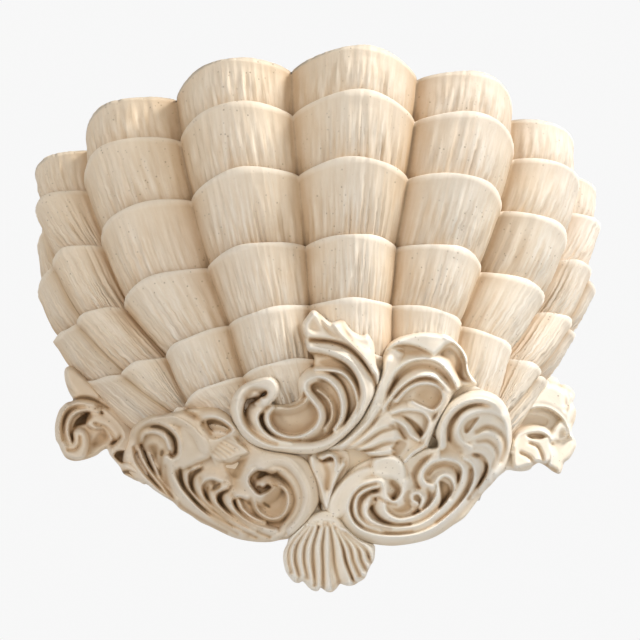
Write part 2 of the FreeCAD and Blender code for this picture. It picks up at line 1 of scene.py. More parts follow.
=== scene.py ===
import json
import math
import bpy
import numpy as np
from mathutils import Matrix, Vector
from mathutils.bvhtree import BVHTree


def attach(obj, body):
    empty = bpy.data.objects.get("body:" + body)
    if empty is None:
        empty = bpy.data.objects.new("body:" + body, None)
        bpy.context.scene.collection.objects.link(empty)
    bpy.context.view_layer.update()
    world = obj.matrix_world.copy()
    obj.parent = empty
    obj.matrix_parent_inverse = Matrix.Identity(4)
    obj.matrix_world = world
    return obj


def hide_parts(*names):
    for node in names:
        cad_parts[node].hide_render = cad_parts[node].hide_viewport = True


# Shell wall sconce: plaster bowl and rocaille ornament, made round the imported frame.
# Shapes are worked out in millimetres in the frame's own axes and become metres in meshFrom.
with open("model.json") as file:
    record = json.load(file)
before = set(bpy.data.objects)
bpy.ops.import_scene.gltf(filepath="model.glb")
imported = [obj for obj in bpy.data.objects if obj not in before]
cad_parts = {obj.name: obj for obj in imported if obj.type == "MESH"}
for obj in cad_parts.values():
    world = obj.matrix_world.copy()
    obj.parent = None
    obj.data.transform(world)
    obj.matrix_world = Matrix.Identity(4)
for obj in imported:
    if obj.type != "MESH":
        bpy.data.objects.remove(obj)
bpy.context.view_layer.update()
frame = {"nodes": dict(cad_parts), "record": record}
print("frame loaded")

photo = {
    # the camera fitted to the photograph: its place in mm and its axes
    "eye": (-165.1, -900.1, -428.1),
    "ahead": (0.16827, 0.89055, 0.42262),
    "up": (-0.02865, -0.42413, 0.90515),
    "right": (0.98532, -0.16442, -0.04585),
    "focal": 1452,  # px
    "side": 640,  # px
}
eye, ahead, upward, rightward = (np.array(photo[key]) for key in ("eye", "ahead", "up", "right"))


def placeCamera():
    data = bpy.data.cameras.new("photoCamera")
    data.sensor_width = 36
    data.lens = photo["focal"] / photo["side"] * data.sensor_width
    camera = bpy.data.objects.new("photoCamera", data)
    turn = Matrix((rightward, upward, -ahead)).transposed()
    camera.matrix_world = Matrix.Translation(eye / 1000) @ turn.to_4x4()
    bpy.context.scene.collection.objects.link(camera)
    bpy.context.scene.camera = camera


placeCamera()


# finishes: Flow does sums on sockets, and Finish builds the node tree of one material
class Flow:
    def __init__(self, finish, socket):
        self.finish = finish
        self.socket = socket

    def joinedBy(self, operation, other, swapped=False):
        first, second = (other, self) if swapped else (self, other)
        return self.finish.node("ShaderNodeMath", {"operation": operation}, {0: first, 1: second})[0]

    def __add__(self, other):
        return self.joinedBy("ADD", other)

    def __sub__(self, other):
        return self.joinedBy("SUBTRACT", other)

    def __rsub__(self, other):
        return self.joinedBy("SUBTRACT", other, swapped=True)

    def __mul__(self, other):
        return self.joinedBy("MULTIPLY", other)

    __radd__ = __add__


class Finish:
    def __init__(self, name):
        self.material = bpy.data.materials.new(name)
        self.material.use_nodes = True
        self.tree = self.material.node_tree
        self.shader = self.tree.nodes["Principled BSDF"]

    def feed(self, socket, value):
        if isinstance(value, Flow):
            self.tree.links.new(value.socket, socket)
        elif socket.type == "RGBA":
            socket.default_value = (*value, 1)
        else:
            socket.default_value = value

    def node(self, kind, settings=None, sockets=None):
        made = self.tree.nodes.new(kind)
        for key, value in (settings or {}).items():
            if key == "stops":
                for number, (place, shade) in enumerate(value):
                    if number > 1:
                        made.color_ramp.elements.new(place)
                    made.color_ramp.elements[number].position = place
                    made.color_ramp.elements[number].color = (shade, shade, shade, 1)
            else:
                setattr(made, key, value)
        for key, value in (sockets or {}).items():
            self.feed(made.inputs[key], value)
        return [Flow(self, socket) for socket in made.outputs if socket.enabled]

    def noise(self, place, scale, detail, roughness=0.5):
        sockets = {"Vector": place, "Scale": scale, "Detail": detail, "Roughness": roughness}
        return self.node("ShaderNodeTexNoise", {}, sockets)[0]

    def ramp(self, value, *stops):
        return self.node("ShaderNodeValToRGB", {"stops": stops}, {0: value})[0]

    def clamped(self, value):
        return self.node("ShaderNodeClamp", {}, {0: value})[0]

    def blend(self, amount, first, second):
        return self.node("ShaderNodeMix", {"data_type": "RGBA"}, {0: amount, 6: first, 7: second})[0]

    def set(self, **values):
        for key, value in values.items():
            self.feed(self.shader.inputs[key.replace("_", " ")], value)
        return self


plasterTints = {
    "cream": (0.84, 0.735, 0.575),
    # pale chalky tone, also used as painted highlight on what stands out
    "chalkAndHighlight": (0.90, 0.85, 0.76),
    # the brown of the wash, also used as painted shade in hollows, creases and grooves
    "washAndShade": (0.52, 0.345, 0.19),
    "deepWashAndShade": (0.23, 0.145, 0.07),
    "warm": (0.82, 0.61, 0.37),
    "mauve": (0.70, 0.61, 0.54),
}
plasterSizes = {
    # noises: scale, detail, roughness
    "cloud": (22, 3, 0.6), "drift": (7, 2), "grain": (420, 3, 0.7), "patch": (40, 2), "streak": (1, 2.5),
    # glow numbers: a warmer, darker tint toward the top and the left that leaves the right side pale,
    # painted shade on the left away from the key light
    "cells": 260, "streakStretch": (34, 2.2, 3), "glowUp": 4, "glowLeft": 3, "glowLevel": 0.38,
    "warmShare": 0.6, "mauveShare": 0.5, "glowShare": 0.42, "pitShare": 0.6,
    # stain scales the wash, which carries painted shade; the streak term darkens the grooves between the
    # bump's streak ridges, partly painted shade
    "stainAndShade": 0.7, "stainCloud": 0.6, "stainGrain": 0.10, "streakWashAndShade": 0.9,
    "reliefGrain": 0.25, "reliefCloud": 0.4, "reliefStreak": 3, "bumpStrength": 0.3, "bumpDepth": 0.0008,
    "roughness": 0.62, "roughGrain": 0.15,
}
plainNoise = (160, 3)


def plasterFinish():
    # cream plaster, chalky and with painted highlight on what stands out, with brown wash and painted shade
    # left in the hollows and creases, and small pits
    f = Finish("castPlaster")
    place = f.node("ShaderNodeTexCoord")[3]
    washAndShade, chalkAndHighlight, across, rise, seedling, fluting = (
        f.node("ShaderNodeAttribute", {"attribute_name": name})[2]
        for name in ("washAndShade", "chalkAndHighlight", "across", "rise", "seedling", "fluting"))
    t = plasterSizes
    cloud, drift, grain, patch = (
        f.noise(place, *t[name]) for name in ("cloud", "drift", "grain", "patch"))
    cells = f.node("ShaderNodeTexVoronoi", {}, {"Vector": place, "Scale": t["cells"], "Randomness": 1})[0]
    along, up, other = t["streakStretch"]
    stretched = {0: across * along, 1: rise * up, 2: seedling * other}
    streak = f.noise(f.node("ShaderNodeCombineXYZ", {}, stretched)[0], *t["streak"])
    spot = f.node("ShaderNodeSeparateXYZ", {}, {0: place})
    # glow: warmer and darker toward the top and the left, paler on the right: painted shade on the left,
    # away from the key light
    glow = f.clamped(spot[2] * t["glowUp"] - spot[0] * t["glowLeft"] + t["glowLevel"])
    pits = f.ramp(cells, (0.05, 1), (0.19, 0)) * f.ramp(patch, (0.46, 0), (0.6, 1))
    # brown wash with painted shade in hollows, creases and grooves, plus cloud and grain stains; along the
    # flutes it darkens the grooves of the streak ridges that the bump raises, partly painted shade
    stainAndShade = f.clamped(washAndShade * (t["stainAndShade"] + cloud * t["stainCloud"]) + (grain - 0.5) * t["stainGrain"]
                      + (0.5 - streak) * fluting * t["streakWashAndShade"])
    shades = (
        (f.ramp(cloud, (0.35, 0), (0.7, 1)) * t["warmShare"], "warm"),
        (f.ramp(drift, (0.5, 0), (0.72, 1)) * t["mauveShare"], "mauve"),
        # chalk: pale tone with painted highlight on raised places, lips and lobe middles, and on the crests
        # of the bump's streak ridges
        (f.clamped(chalkAndHighlight + (streak - 0.5) * fluting), "chalkAndHighlight"),
        (glow * t["glowShare"], "warm"),
        (f.ramp(stainAndShade, (0.0, 0), (0.8, 1)), "washAndShade"),
        (f.ramp(stainAndShade, (0.7, 0), (1.0, 1)), "deepWashAndShade"),
        (pits * t["pitShare"], "deepWashAndShade"))
    colour = plasterTints["cream"]
    for share, tint in shades:
        colour = f.blend(share, colour, plasterTints[tint])
    relief = (grain * t["reliefGrain"] + cloud * t["reliefCloud"] - pits
              + (streak - 0.5) * fluting * t["reliefStreak"])
    bump = f.node("ShaderNodeBump", {}, {"Strength": t["bumpStrength"], "Distance": t["bumpDepth"],
                                         "Height": relief})[0]
    roughness = t["roughness"] + (grain - 0.5) * t["roughGrain"]
    return f.set(Base_Color=colour, Roughness=roughness, Normal=bump).material


def plainFinish(name, colour, roughness, metallic=0.0, wear=0.1, **more):
    f = Finish(name)
    place = f.node("ShaderNodeTexCoord")[3]
    cloud = f.noise(place, *plainNoise)
    dull = tuple(part * (1 - wear * 2) for part in colour)
    f.set(Base_Color=f.blend(cloud, colour, dull), Roughness=roughness + (cloud - 0.5) * wear)
    return f.set(Metallic=metallic, **more).material


plaster = plasterFinish()
finishes = {
    "cast_plaster": plaster,
    "pad_rubber": plainFinish("padRubber", (0.03, 0.03, 0.03), 0.8),
    "zinc_steel": plainFinish("zincSteel", (0.58, 0.6, 0.62), 0.34, 1.0, 0.14),
    "brass": plainFinish("brass", (0.72, 0.52, 0.22), 0.28, 1.0, 0.12),
    "green_steel": plainFinish("greenSteel", (0.06, 0.3, 0.1), 0.4, 0.4),
    "porcelain": plainFinish("porcelain", (0.86, 0.85, 0.82), 0.18, 0.0, 0.03),
    "white_nylon": plainFinish("whiteNylon", (0.82, 0.82, 0.79), 0.45),
    "black_insulation": plainFinish("blackInsulation", (0.02, 0.02, 0.022), 0.5),
    "white_insulation": plainFinish("whiteInsulation", (0.8, 0.8, 0.78), 0.5),
    "nickel_cap": plainFinish("nickelCap", (0.68, 0.66, 0.6), 0.25, 1.0),
    "black_glass": plainFinish("blackGlass", (0.012, 0.012, 0.014), 0.15),
    "clear_glass": plainFinish("clearGlass", (0.97, 0.98, 0.98), 0.05, 0.0, 0.01,
                               Transmission_Weight=1.0, IOR=1.45),
    "stem_glass": plainFinish("stemGlass", (0.95, 0.96, 0.95), 0.08, 0.0, 0.01,
                              Transmission_Weight=0.9, IOR=1.45),
    "filament_coat": plainFinish("filamentCoat", (0.86, 0.62, 0.2), 0.6),
}
print("finishes made")


def meshFrom(name, points, faces, values, material):
    # points in mm; values holds one number per point for each named attribute
    mesh = bpy.data.meshes.new(name)
    mesh.from_pydata((np.asarray(points) / 1000).tolist(), [], faces)
    for key, numbers in values.items():
        layer = mesh.attributes.new(key, "FLOAT", "POINT")
        layer.data.foreach_set("value", np.asarray(numbers, np.float32))
    mesh.materials.append(material)
    mesh.shade_smooth()
    thing = bpy.data.objects.new(name, mesh)
    bpy.context.scene.collection.objects.link(thing)
    return thing


def madePlain(thing):
    # the evaluated shape as a plain mesh, with the modifiers gone
    plain = bpy.data.meshes.new_from_object(thing.evaluated_get(bpy.context.evaluated_depsgraph_get()))
    thing.modifiers.clear()
    thing.data = plain
    return thing


replaced = set()  # nodes of the frame that a piece made here stands for


def dressed(thing, body, node):
    replaced.add(node)
    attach(thing, body)
    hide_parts(node)


# the bowl: rings of scallops from the rim down, each the top edge of one tier of cups; the last
# one is the foot
bowlSizes = {
    # half width, depth, level, lean, tilt, heel, lobe sag and arch; the rib corners left and
    # right, degrees round from the front; then the rib that faces sideways: its front corner
    # (x, y) and its end at the wall (x, y, rise)
    "rings": (
        (186.6, 181.4, 81.0, 0.118, 0, 2, 0.34, 0.01,
         13.3, 35.9, 58.2, 13.8, 37.0, 58.6, 181, 40, 184, 8, -2),
        (187.2, 179.6, 50.3, 0.108, 0, 2, 0.34, 0.02,
         13.3, 35.0, 58.2, 12.6, 36.2, 58.8, 183, 48, 186, 8, 4),
        (174.1, 170.2, 14.6, 0.126, 0.01, 4, 0.33, -0.02,
         13.0, 35.1, 58.2, 11.8, 35.3, 59.0, 177, 66, 186, 8, 12),
        (153.5, 147.8, -21.1, 0.158, 0.02, 12, 0.36, -0.08,
         12.3, 35.3, 59.6, 11.3, 34.9, 59.6, 161, 61, 176, 8, 20),
        (128.4, 138.7, -55.7, 0.224, 0.02, 26, 0.34, -0.14,
         13.3, 35.9, 57.2, 11.9, 34.6, 56.8, 133, 67, 160, 10, 30),
        (114.1, 130.7, -88.0, 0.339, 0, 42, 0.31, -0.13,
         13.3, 35.9, 58.2, 13.3, 35.9, 58.2, 103, 80, 106, 42, 0),
        (84.0, 112.0, -114.0, 0.220, 0, 50, 0.30, 0.0,
         13.3, 35.9, 58.2, 13.3, 35.9, 58.2, 80, 72, 84, 50, 0)),
    "planPower": 1.08, "sagPower": 0.74, "quarterSag": 1.12,
    # the ribs at the wall: their sags, left and right, and the share of them that a level gets
    "sideSags": (0.1, 0.25), "sideShare": 0.6, "leastSideShare": 0.2, "sideShareHeight": 150,
    "columns": 72, "backColumns": 24, "rows": 14,
    "step": 8.0, "sink": 3.0, "bulge": 2.4, "bulgePower": 0.85,
    "lipOut": 1.0, "lipHeight": 0.16, "lipPower": 0.7, "rimDrop": 1.2,
    "uneven": 0.7, "unevenWaves": 9, "unevenTurn": 2.3,
    "lip": ((-0.5, 0.7), (0.8, 0.9), (2.4, 0.3), (6.4, -1.2)),  # inset and lift of the rows over a lip
    "hollowLip": ((10.5, -1.0), (14, -4)),  # the same for the first rows of the hollow
    "hollowTiers": 3, "hollowSteps": (0.25, 0.5, 0.75, 1), "floorSteps": (0.5, 0.9, 1),
    "wall": 14, "floorRise": 12, "web": 20, "back": 1.5,
    "lipRise": 1.15, "hollowRise": 2,  # rise runs 0 to 1 up a cup, then takes these two values
    "ribSeed": 1.7, "tierSeed": 5.3,
}
# the bowl's wash and chalk: valley, foot and the crevice term add painted shadow in the notches between
# lobes, at the foot of each cup and in the crevice under each lip; lip takes wash off and chalk adds
# painted highlight on the rims and down the middle of each lobe; hollow darkens the inside with wash and
# painted shade
bowlWashAndShade = {
    "all": 0.14, "valley": 0.6, "valleyReach": 0.08, "foot": 0.35, "footReach": 0.22, "creviceShade": 0.4,
    "creviceShadeReach": 0.05, "lip": 0.3, "hollow": 0.3, "chalkAndHighlight": 0.7, "cupHighlightBend": 0.6, "lipHighlight": 0.4,
    "flutesFrom": 1.5, "flutesFall": 1.35, "flutesInValley": 0.8,
}


def lobes(ringNumbers, inset, lift, backY):
    # one closed loop of points at a ring between the rings: scallops, then the straight back
    s = bowlSizes
    width, depth, level, lean, tilt, heel, sag, arch = ringNumbers[:8]
    sideX, sideY, endX, endY, rise = ringNumbers[14:]
    if backY > s["back"]:
        arch = rise = 0
    halves = []
    for side, edges in ((-1, ringNumbers[8:11]), (1, ringNumbers[11:14])):
        half = []
        for edge in edges:
            turn = math.radians(edge)
            half.append((side * (width - inset) * math.sin(turn) ** s["planPower"],
                         -heel - (depth - inset - heel) * math.cos(turn) ** s["planPower"], 0))
        half.append((side * (sideX - inset), -sideY, 0))
        half.append((side * (endX - inset), -max(endY, backY + 1), rise))
        halves.append(half)
    corners = halves[0][::-1] + halves[1]
    last = len(corners) - 2
    points, across, ribs = [], [], []
    for rib, ((x0, y0, up0), (x1, y1, up1)) in enumerate(zip(corners, corners[1:])):
        atWall = rib in (0, last)
        if atWall:
            share = max(s["leastSideShare"], s["sideShare"] + level / s["sideShareHeight"])
            bow = s["sideSags"][rib > 0] * share
        else:
            bow = sag * (s["quarterSag"] if rib in (1, last - 1) else 1)
        lifted = 0 if atWall else arch * math.hypot(x1 - x0, y1 - y0)
        for column in range(s["columns"]):
            v = column / s["columns"]
            swell = math.sin(math.pi * v) ** s["sagPower"]
            x = x0 + (x1 - x0) * v + bow * (y1 - y0) * swell
            y = y0 + (y1 - y0) * v - bow * (x1 - x0) * swell
            up = up0 + (up1 - up0) * v + lifted * swell
            wave = math.sin(s["unevenWaves"] * v + s["unevenTurn"] * rib + level)
            up += s["uneven"] * math.sin(math.pi * v) * wave
            points.append((x, y, level + lift + up - lean * (y + depth) + tilt * x))
            across.append(v)
            ribs.append(rib)
    lift = lift if backY > s["back"] else 0
    for column in range(s["backColumns"]):
        v = column / s["backColumns"]
        x = corners[-1][0] * (1 - 2 * v)
        points.append((x, -backY, level + lift + rise - lean * (depth - backY) + tilt * x))
        across.append(0.5)
        ribs.append(last + 1)
    return points, across, ribs


def between(low, high, share):
    return [a + (b - a) * share for a, b in zip(low, high)]


def bowlShape():
    s = bowlSizes
    rings = s["rings"]
    rows = []  # ring numbers, inset, lift, back, rise, tier
    tiers = len(rings) - 1
    for tier in reversed(range(tiers)):
        low, high = rings[tier + 1], rings[tier]
        for row in range(s["rows"]):
            t = row / (s["rows"] - 1)
            swell = math.sin(math.pi * t ** s["bulgePower"])
            lip = max(0.0, 1 - (1 - t) / s["lipHeight"]) ** s["lipPower"]
            inset = s["step"] * (1 - t) - s["bulge"] * swell - s["lipOut"] * lip
            rows.append((between(low, high, t), inset, -s["sink"] * (1 - t), s["back"], t, tier))
        for inset, lift in s["lip"]:
            lift -= 0 if tier else s["rimDrop"]
            rows.append((high, inset, lift, s["back"], s["lipRise"], tier))
    hollow = [(rings[0], inset, lift) for inset, lift in s["hollowLip"]]
    hollow += [(between(rings[n], rings[n + 1], t), s["wall"] + s["step"] * min(1, n + t), 0)
               for n in range(s["hollowTiers"]) for t in s["hollowSteps"]]
    low, high = rings[s["hollowTiers"] + 1], rings[s["hollowTiers"]]
    hollow += [(between(high, low, t), s["wall"] + s["step"], s["floorRise"] * t) for t in s["floorSteps"]]
    rows += [(numbers, inset, lift, s["web"], s["hollowRise"], 0) for numbers, inset, lift in hollow]
    points, across, rise, seedling = [], [], [], []
    for numbers, inset, lift, backY, t, tier in rows:
        loop, v, ribs = lobes(numbers, inset, lift, backY)
        points += loop
        across += v
        rise += [t] * len(loop)
        seedling += [rib * s["ribSeed"] + tier * s["tierSeed"] for rib in ribs]
    around = len(points) // len(rows)
    faces = []
    for row in range(len(rows) - 1):
        for column in range(around):
            a = row * around + column
            b = row * around + (column + 1) % around
            faces.append((a, b, b + around, a + around))
    faces.append(tuple(reversed(range(around))))
    faces.append(tuple(range((len(rows) - 1) * around, len(rows) * around)))
    across, rise = np.array(across), np.array(rise)
    front = np.tile(np.array(ribs) < ribs[-1], len(rows))
    onCup = front * (rise <= 1)
    w = bowlWashAndShade
    # painted shadow: darker near the valleys between lobes, at the foot of each cup and in the thin crevice
    # under the lip above
    valley = np.exp(-np.minimum(across, 1 - across) / w["valleyReach"]) * front
    foot = w["foot"] * np.exp(-rise / w["footReach"]) + w["creviceShade"] * np.exp(-rise / w["creviceShadeReach"])
    foot = foot * onCup
    # the lips are paler: painted highlight
    lip = (rise >= 1) * (rise < s["hollowRise"])
    washAndShade = np.clip(w["all"] + w["valley"] * valley + foot - w["lip"] * lip, 0, 1)
    washAndShade = np.where(rise < s["hollowRise"], washAndShade, w["hollow"])
    # chalk: painted highlight down the middle of each lobe and along the lips
    chalkAndHighlight = np.clip((1 - 2 * np.abs(across - 0.5)) ** w["cupHighlightBend"] + w["lipHighlight"] * lip, 0, 1)
    fade = np.clip(w["flutesFrom"] - w["flutesFall"] * np.clip(rise, 0, 1), 0, 1)
    fade = fade * (1 - w["flutesInValley"] * valley) * onCup
    values = {"across": across, "rise": rise, "seedling": seedling, "fluting": fade, "washAndShade": washAndShade,
              "chalkAndHighlight": chalkAndHighlight * w["chalkAndHighlight"]}
    return meshFrom("shellBowl", points, faces, values, plaster)


flutingSizes = {"Depth": 0.0098, "Flutes": 13.0, "Seed": 3.0}
# coarse and fine flutes: scale across and stretch upward
fluteNoise = {"coarse": (1.0, 0.5), "fine": (2.1, 0.9), "level": 0.16, "detail": 1.5}


def flutingTree():
    # pushes the cups in and out in upright flutes, from the attributes that the bowl carries
    tree = bpy.data.node_groups.new("fluting", "GeometryNodeTree")
    kinds = {"Geometry": "NodeSocketGeometry", "Finish": "NodeSocketMaterial"}
    for name in ("Geometry", "Depth", "Flutes", "Seed", "Finish"):
        tree.interface.new_socket(name, in_out="INPUT", socket_type=kinds.get(name, "NodeSocketFloat"))
    tree.interface.new_socket("Geometry", in_out="OUTPUT", socket_type=kinds["Geometry"])
    nodes, links = tree.nodes, tree.links
    start = nodes.new("NodeGroupInput")
    end = nodes.new("NodeGroupOutput")

    def reading(name):
        node = nodes.new("GeometryNodeInputNamedAttribute")
        node.data_type = "FLOAT"
        node.inputs["Name"].default_value = name
        return node.outputs[0]

    def worked(operation, first, second=0):
        node = nodes.new("ShaderNodeMath")
        node.operation = operation
        for socket, value in zip(node.inputs, (first, second)):
            if isinstance(value, (int, float)):
                socket.default_value = value
            else:
                links.new(value, socket)
        return node.outputs[0]

    def flutes(scale, stretch):
        spot = nodes.new("ShaderNodeCombineXYZ")
        across = worked("MULTIPLY", reading("across"), start.outputs["Flutes"])
        place = (worked("MULTIPLY", across, scale), worked("MULTIPLY", reading("rise"), stretch),
                 worked("ADD", reading("seedling"), start.outputs["Seed"]))
        for socket, value in zip(spot.inputs, place):
            links.new(value, socket)
        noise = nodes.new("ShaderNodeTexNoise")
        noise.inputs["Scale"].default_value = 1
        noise.inputs["Detail"].default_value = fluteNoise["detail"]
        links.new(spot.outputs[0], noise.inputs["Vector"])
        return worked("ABSOLUTE", worked("SUBTRACT", noise.outputs[0], 0.5))

    crests = worked("ADD", flutes(*fluteNoise["coarse"]), flutes(*fluteNoise["fine"]))
    height = worked("SUBTRACT", fluteNoise["level"], crests)
    height = worked("MULTIPLY", worked("MULTIPLY", height, reading("fluting")), start.outputs["Depth"])
    normal = nodes.new("GeometryNodeInputNormal")
    push = nodes.new("ShaderNodeVectorMath")
    push.operation = "SCALE"
    links.new(normal.outputs[0], push.inputs[0])
    links.new(height, push.inputs["Scale"])
    shift = nodes.new("GeometryNodeSetPosition")
    links.new(start.outputs["Geometry"], shift.inputs["Geometry"])
    links.new(push.outputs[0], shift.inputs["Offset"])
    real = nodes.new("GeometryNodeRealizeInstances")
    links.new(shift.outputs[0], real.inputs[0])
    paint = nodes.new("GeometryNodeSetMaterial")
    links.new(real.outputs[0], paint.inputs["Geometry"])
    links.new(start.outputs["Finish"], paint.inputs["Material"])
    links.new(paint.outputs[0], end.inputs[0])
    return tree


recessSizes = {  # cut into the back of the bowl, mm: x from, x to, y from, y to, z from, z to
    "pocket": (-84, 84, -7, 4, -52, 36),
    "window": (-32, 32, -30, 4, -40, 28),
    "leftHook": (-57, -39, -11, 4, 0, 26),
    "rightHook": (39, 57, -11, 4, 0, 26),
}


def makeBowl():
    bowl = bowlShape()
    modifier = bowl.modifiers.new("fluting", "NODES")
    modifier.node_group = flutingTree()
    for item in modifier.node_group.interface.items_tree:
        if item.in_out == "INPUT" and item.name in flutingSizes:
            modifier[item.identifier] = flutingSizes[item.name]
        if item.name == "Finish":
            modifier[item.identifier] = plaster
    madePlain(bowl)
    cutters = []
    for name, (x0, x1, y0, y1, z0, z1) in recessSizes.items():
        points = [(x, y, z) for x in (x0, x1) for y in (y0, y1) for z in (z0, z1)]
        faces = [(0, 1, 3, 2), (4, 6, 7, 5), (0, 4, 5, 1), (2, 3, 7, 6), (0, 2, 6, 4), (1, 5, 7, 3)]
        cutter = meshFrom(name, points, faces, {}, plaster)
        cut = bowl.modifiers.new(name, "BOOLEAN")
        cut.operation = "DIFFERENCE"
        cut.solver = "MANIFOLD"
        cut.object = cutter
        cutters.append(cutter)
    madePlain(bowl)
    for cutter in cutters:
        bpy.data.objects.remove(cutter)
    dressed(bowl, "shell", "shell_bowl")
    return BVHTree.FromObject(bowl, bpy.context.evaluated_depsgraph_get())


bowlSurface = makeBowl()
print("bowl made")


# ornament: each piece is carved as heights over its own outline, both drawn on the photograph,
# and set on the swelling console below the bowl (or on a plane, for the ears)
consoleSizes = {
    "top": -50, "drop": 150, "topWidth": 150, "footWidth": 48, "topDepth": 168, "footDepth": 46,
    "widthPower": 1.8, "depthPower": 1.4, "lowest": 1.12, "thinnest": 8, "relief": 20, "back": 1.5,
    "searchFrom": 640, "searchTo": 1120, "searchSteps": 97, "halvings": 22,
}
carvingSizes = {
    "cell": 0.8, "margin": 3, "edge": 4.5, "rootDepth": 12, "nearestWall": 15, "curveSteps": 5,
    "bedDepth": 2, "bedMargin": 5, "bedSoftness": 30, "detail": 1.2, "massSoftness": 60,
    "earPlane": 16, "earRoot": 1,
    "slope": 3.0, "slopeBend": 1.3, "crestDip": 0.12, "dipWidth": 0.35, "shortShare": 0.8,
    "grooving": 0.5, "sunkenAt": 5,
    # wash: brown wash with painted shade in sunken places, grooves and hollows and on the back walls where
    # a piece meets the bowl, cut back on the paler pieces as painted light; chalk: painted highlight on
    # raised places
    "washAndShade": 0.06, "sunkenWashAndShade": 0.8, "grooveWashAndShade": 0.85, "litPieceWashCut": 2.2, "backWashAndShade": 0.4,
    "chalkAndHighlight": 0.45, "raisedHighlight": 0.8,
}


def rays(px, py):
    across = (px - photo["side"] / 2)[..., None] * rightward
    along = (photo["side"] / 2 - py)[..., None] * upward
    ray = ahead * photo["focal"] + across + along
    return ray / np.linalg.norm(ray, axis=-1, keepdims=True)


def consoleGauge(points):
    # below 0 inside the surface that carries the ornament, above 0 outside it
    c = consoleSizes
    x, y, z = points[..., 0], points[..., 1], points[..., 2]
    fall = np.clip((c["top"] - z) / c["drop"], 0, c["lowest"])
    wide = c["topWidth"] - (c["topWidth"] - c["footWidth"]) * fall ** c["widthPower"] - c["relief"]
    deep = c["topDepth"] - (c["topDepth"] - c["footDepth"]) * fall ** c["depthPower"] - c["relief"]
    wide, deep = np.maximum(wide, c["thinnest"]), np.maximum(deep - c["back"], c["thinnest"])
    return (x / wide) ** 2 + ((y + c["back"]) / deep) ** 2 - 1


def onConsole(ray):
    # how far along each ray the console lies; a ray that misses stops where it passes nearest
    s = consoleSizes
    reach = np.linspace(s["searchFrom"], s["searchTo"], s["searchSteps"])
    gauge = consoleGauge(eye + ray[:, None, :] * reach[None, :, None])
    inside = gauge < 0
    hit = inside.any(1)
    first = np.where(hit, inside.argmax(1), 1)
    near, far = reach[np.maximum(first - 1, 0)], reach[first]
    for _ in range(s["halvings"]):
        middle = (near + far) / 2
        beyond = consoleGauge(eye + ray * middle[:, None]) < 0
        near, far = np.where(beyond, near, middle), np.where(beyond, middle, far)
    low = np.clip(gauge.argmin(1), 1, len(reach) - 2)
    pick = np.arange(len(low))
    a, b, c = gauge[pick, low - 1], gauge[pick, low], gauge[pick, low + 1]
    shift = np.clip((a - c) / np.maximum(2 * (a - 2 * b + c), 1e-9), -1, 1)
    return np.where(hit, near, reach[low] + shift * (reach[1] - reach[0]))


def onBowl(ray, reach):
    # the reach of each ray, cut short where the bowl stands before it
    start = Vector(eye / 1000)
    for number, way in enumerate(ray):
        distance = bowlSurface.ray_cast(start, Vector(way))[3]
        if distance is not None:
            reach[number] = min(reach[number], distance * 1000 + carvingSizes["bedDepth"])
    return reach


def spots(text):
    # pixels of the photograph, written as x,y
    return np.array([spot.split(",") for spot in text.split()], float)


def flowing(points, closed=False):
    # a smooth line through the drawn points
    p = spots(points) if isinstance(points, str) else np.array(points)
    ends = (p[-1:], p[:1], p[1:2]) if closed else (2 * p[:1] - p[1:2], 2 * p[-1:] - p[-2:-1])
    p = np.vstack([ends[0], p, *ends[1:]])
    line = []
    for a, b, c, d in zip(p, p[1:], p[2:], p[3:]):
        for step in range(carvingSizes["curveSteps"]):
            t = step / carvingSizes["curveSteps"]
            line.append(0.5 * (2 * b + (c - a) * t + (2 * a - 5 * b + 4 * c - d) * t ** 2
                               + (3 * b - a - 3 * c + d) * t ** 3))
    line.append(p[-2])
    return np.array(line)


def gapTo(line, px, py):
    # distance to a line, how far along it the nearest point is (0 to 1), that point, and the side
    best = np.full(px.shape, 1e9)
    along, side = np.zeros(px.shape), np.zeros(px.shape)
    nearX, nearY = px.copy(), py.copy()
    lengths = np.hypot(*np.diff(line, axis=0).T)
    total, run = max(lengths.sum(), 1e-9), 0.0
    for (x0, y0), (x1, y1), length in zip(line, line[1:], lengths):
        if length < 1e-9:
            continue
        t = np.clip(((px - x0) * (x1 - x0) + (py - y0) * (y1 - y0)) / length ** 2, 0, 1)
        qx, qy = x0 + (x1 - x0) * t, y0 + (y1 - y0) * t
        gap = np.hypot(px - qx, py - qy)
        closer = gap < best
        best = np.where(closer, gap, best)
        along = np.where(closer, (run + length * t) / total, along)
        side = np.where(closer, ((x1 - x0) * (py - qy) - (y1 - y0) * (px - qx)) / length, side)
        nearX, nearY = np.where(closer, qx, nearX), np.where(closer, qy, nearY)
        run += length
    return best, along, side, nearX, nearY


def within(line, px, py):
    inside = np.zeros(px.shape, bool)
    for (x0, y0), (x1, y1) in zip(line, np.roll(line, -1, 0)):
        crosses = (y0 > py) != (y1 > py)
        if y1 != y0:
            inside ^= crosses & (px < (x1 - x0) * (py - y0) / (y1 - y0) + x0)
    return inside


def neighbours(field):
    field = np.pad(field, 1, mode="edge")
    return field[:-2, 1:-1], field[2:, 1:-1], field[1:-1, :-2], field[1:-1, 2:]


def softened(field, times):
    for _ in range(times):
        above, below, left, right = neighbours(field)
        field = (above + below + left + right + 2 * field) / 6
    return field


def foremost(field, times):
    # each place takes the nearest reach round it, so that nothing behind comes through
    for _ in range(times):
        field = np.minimum.reduce((field, *neighbours(field)))
    return field


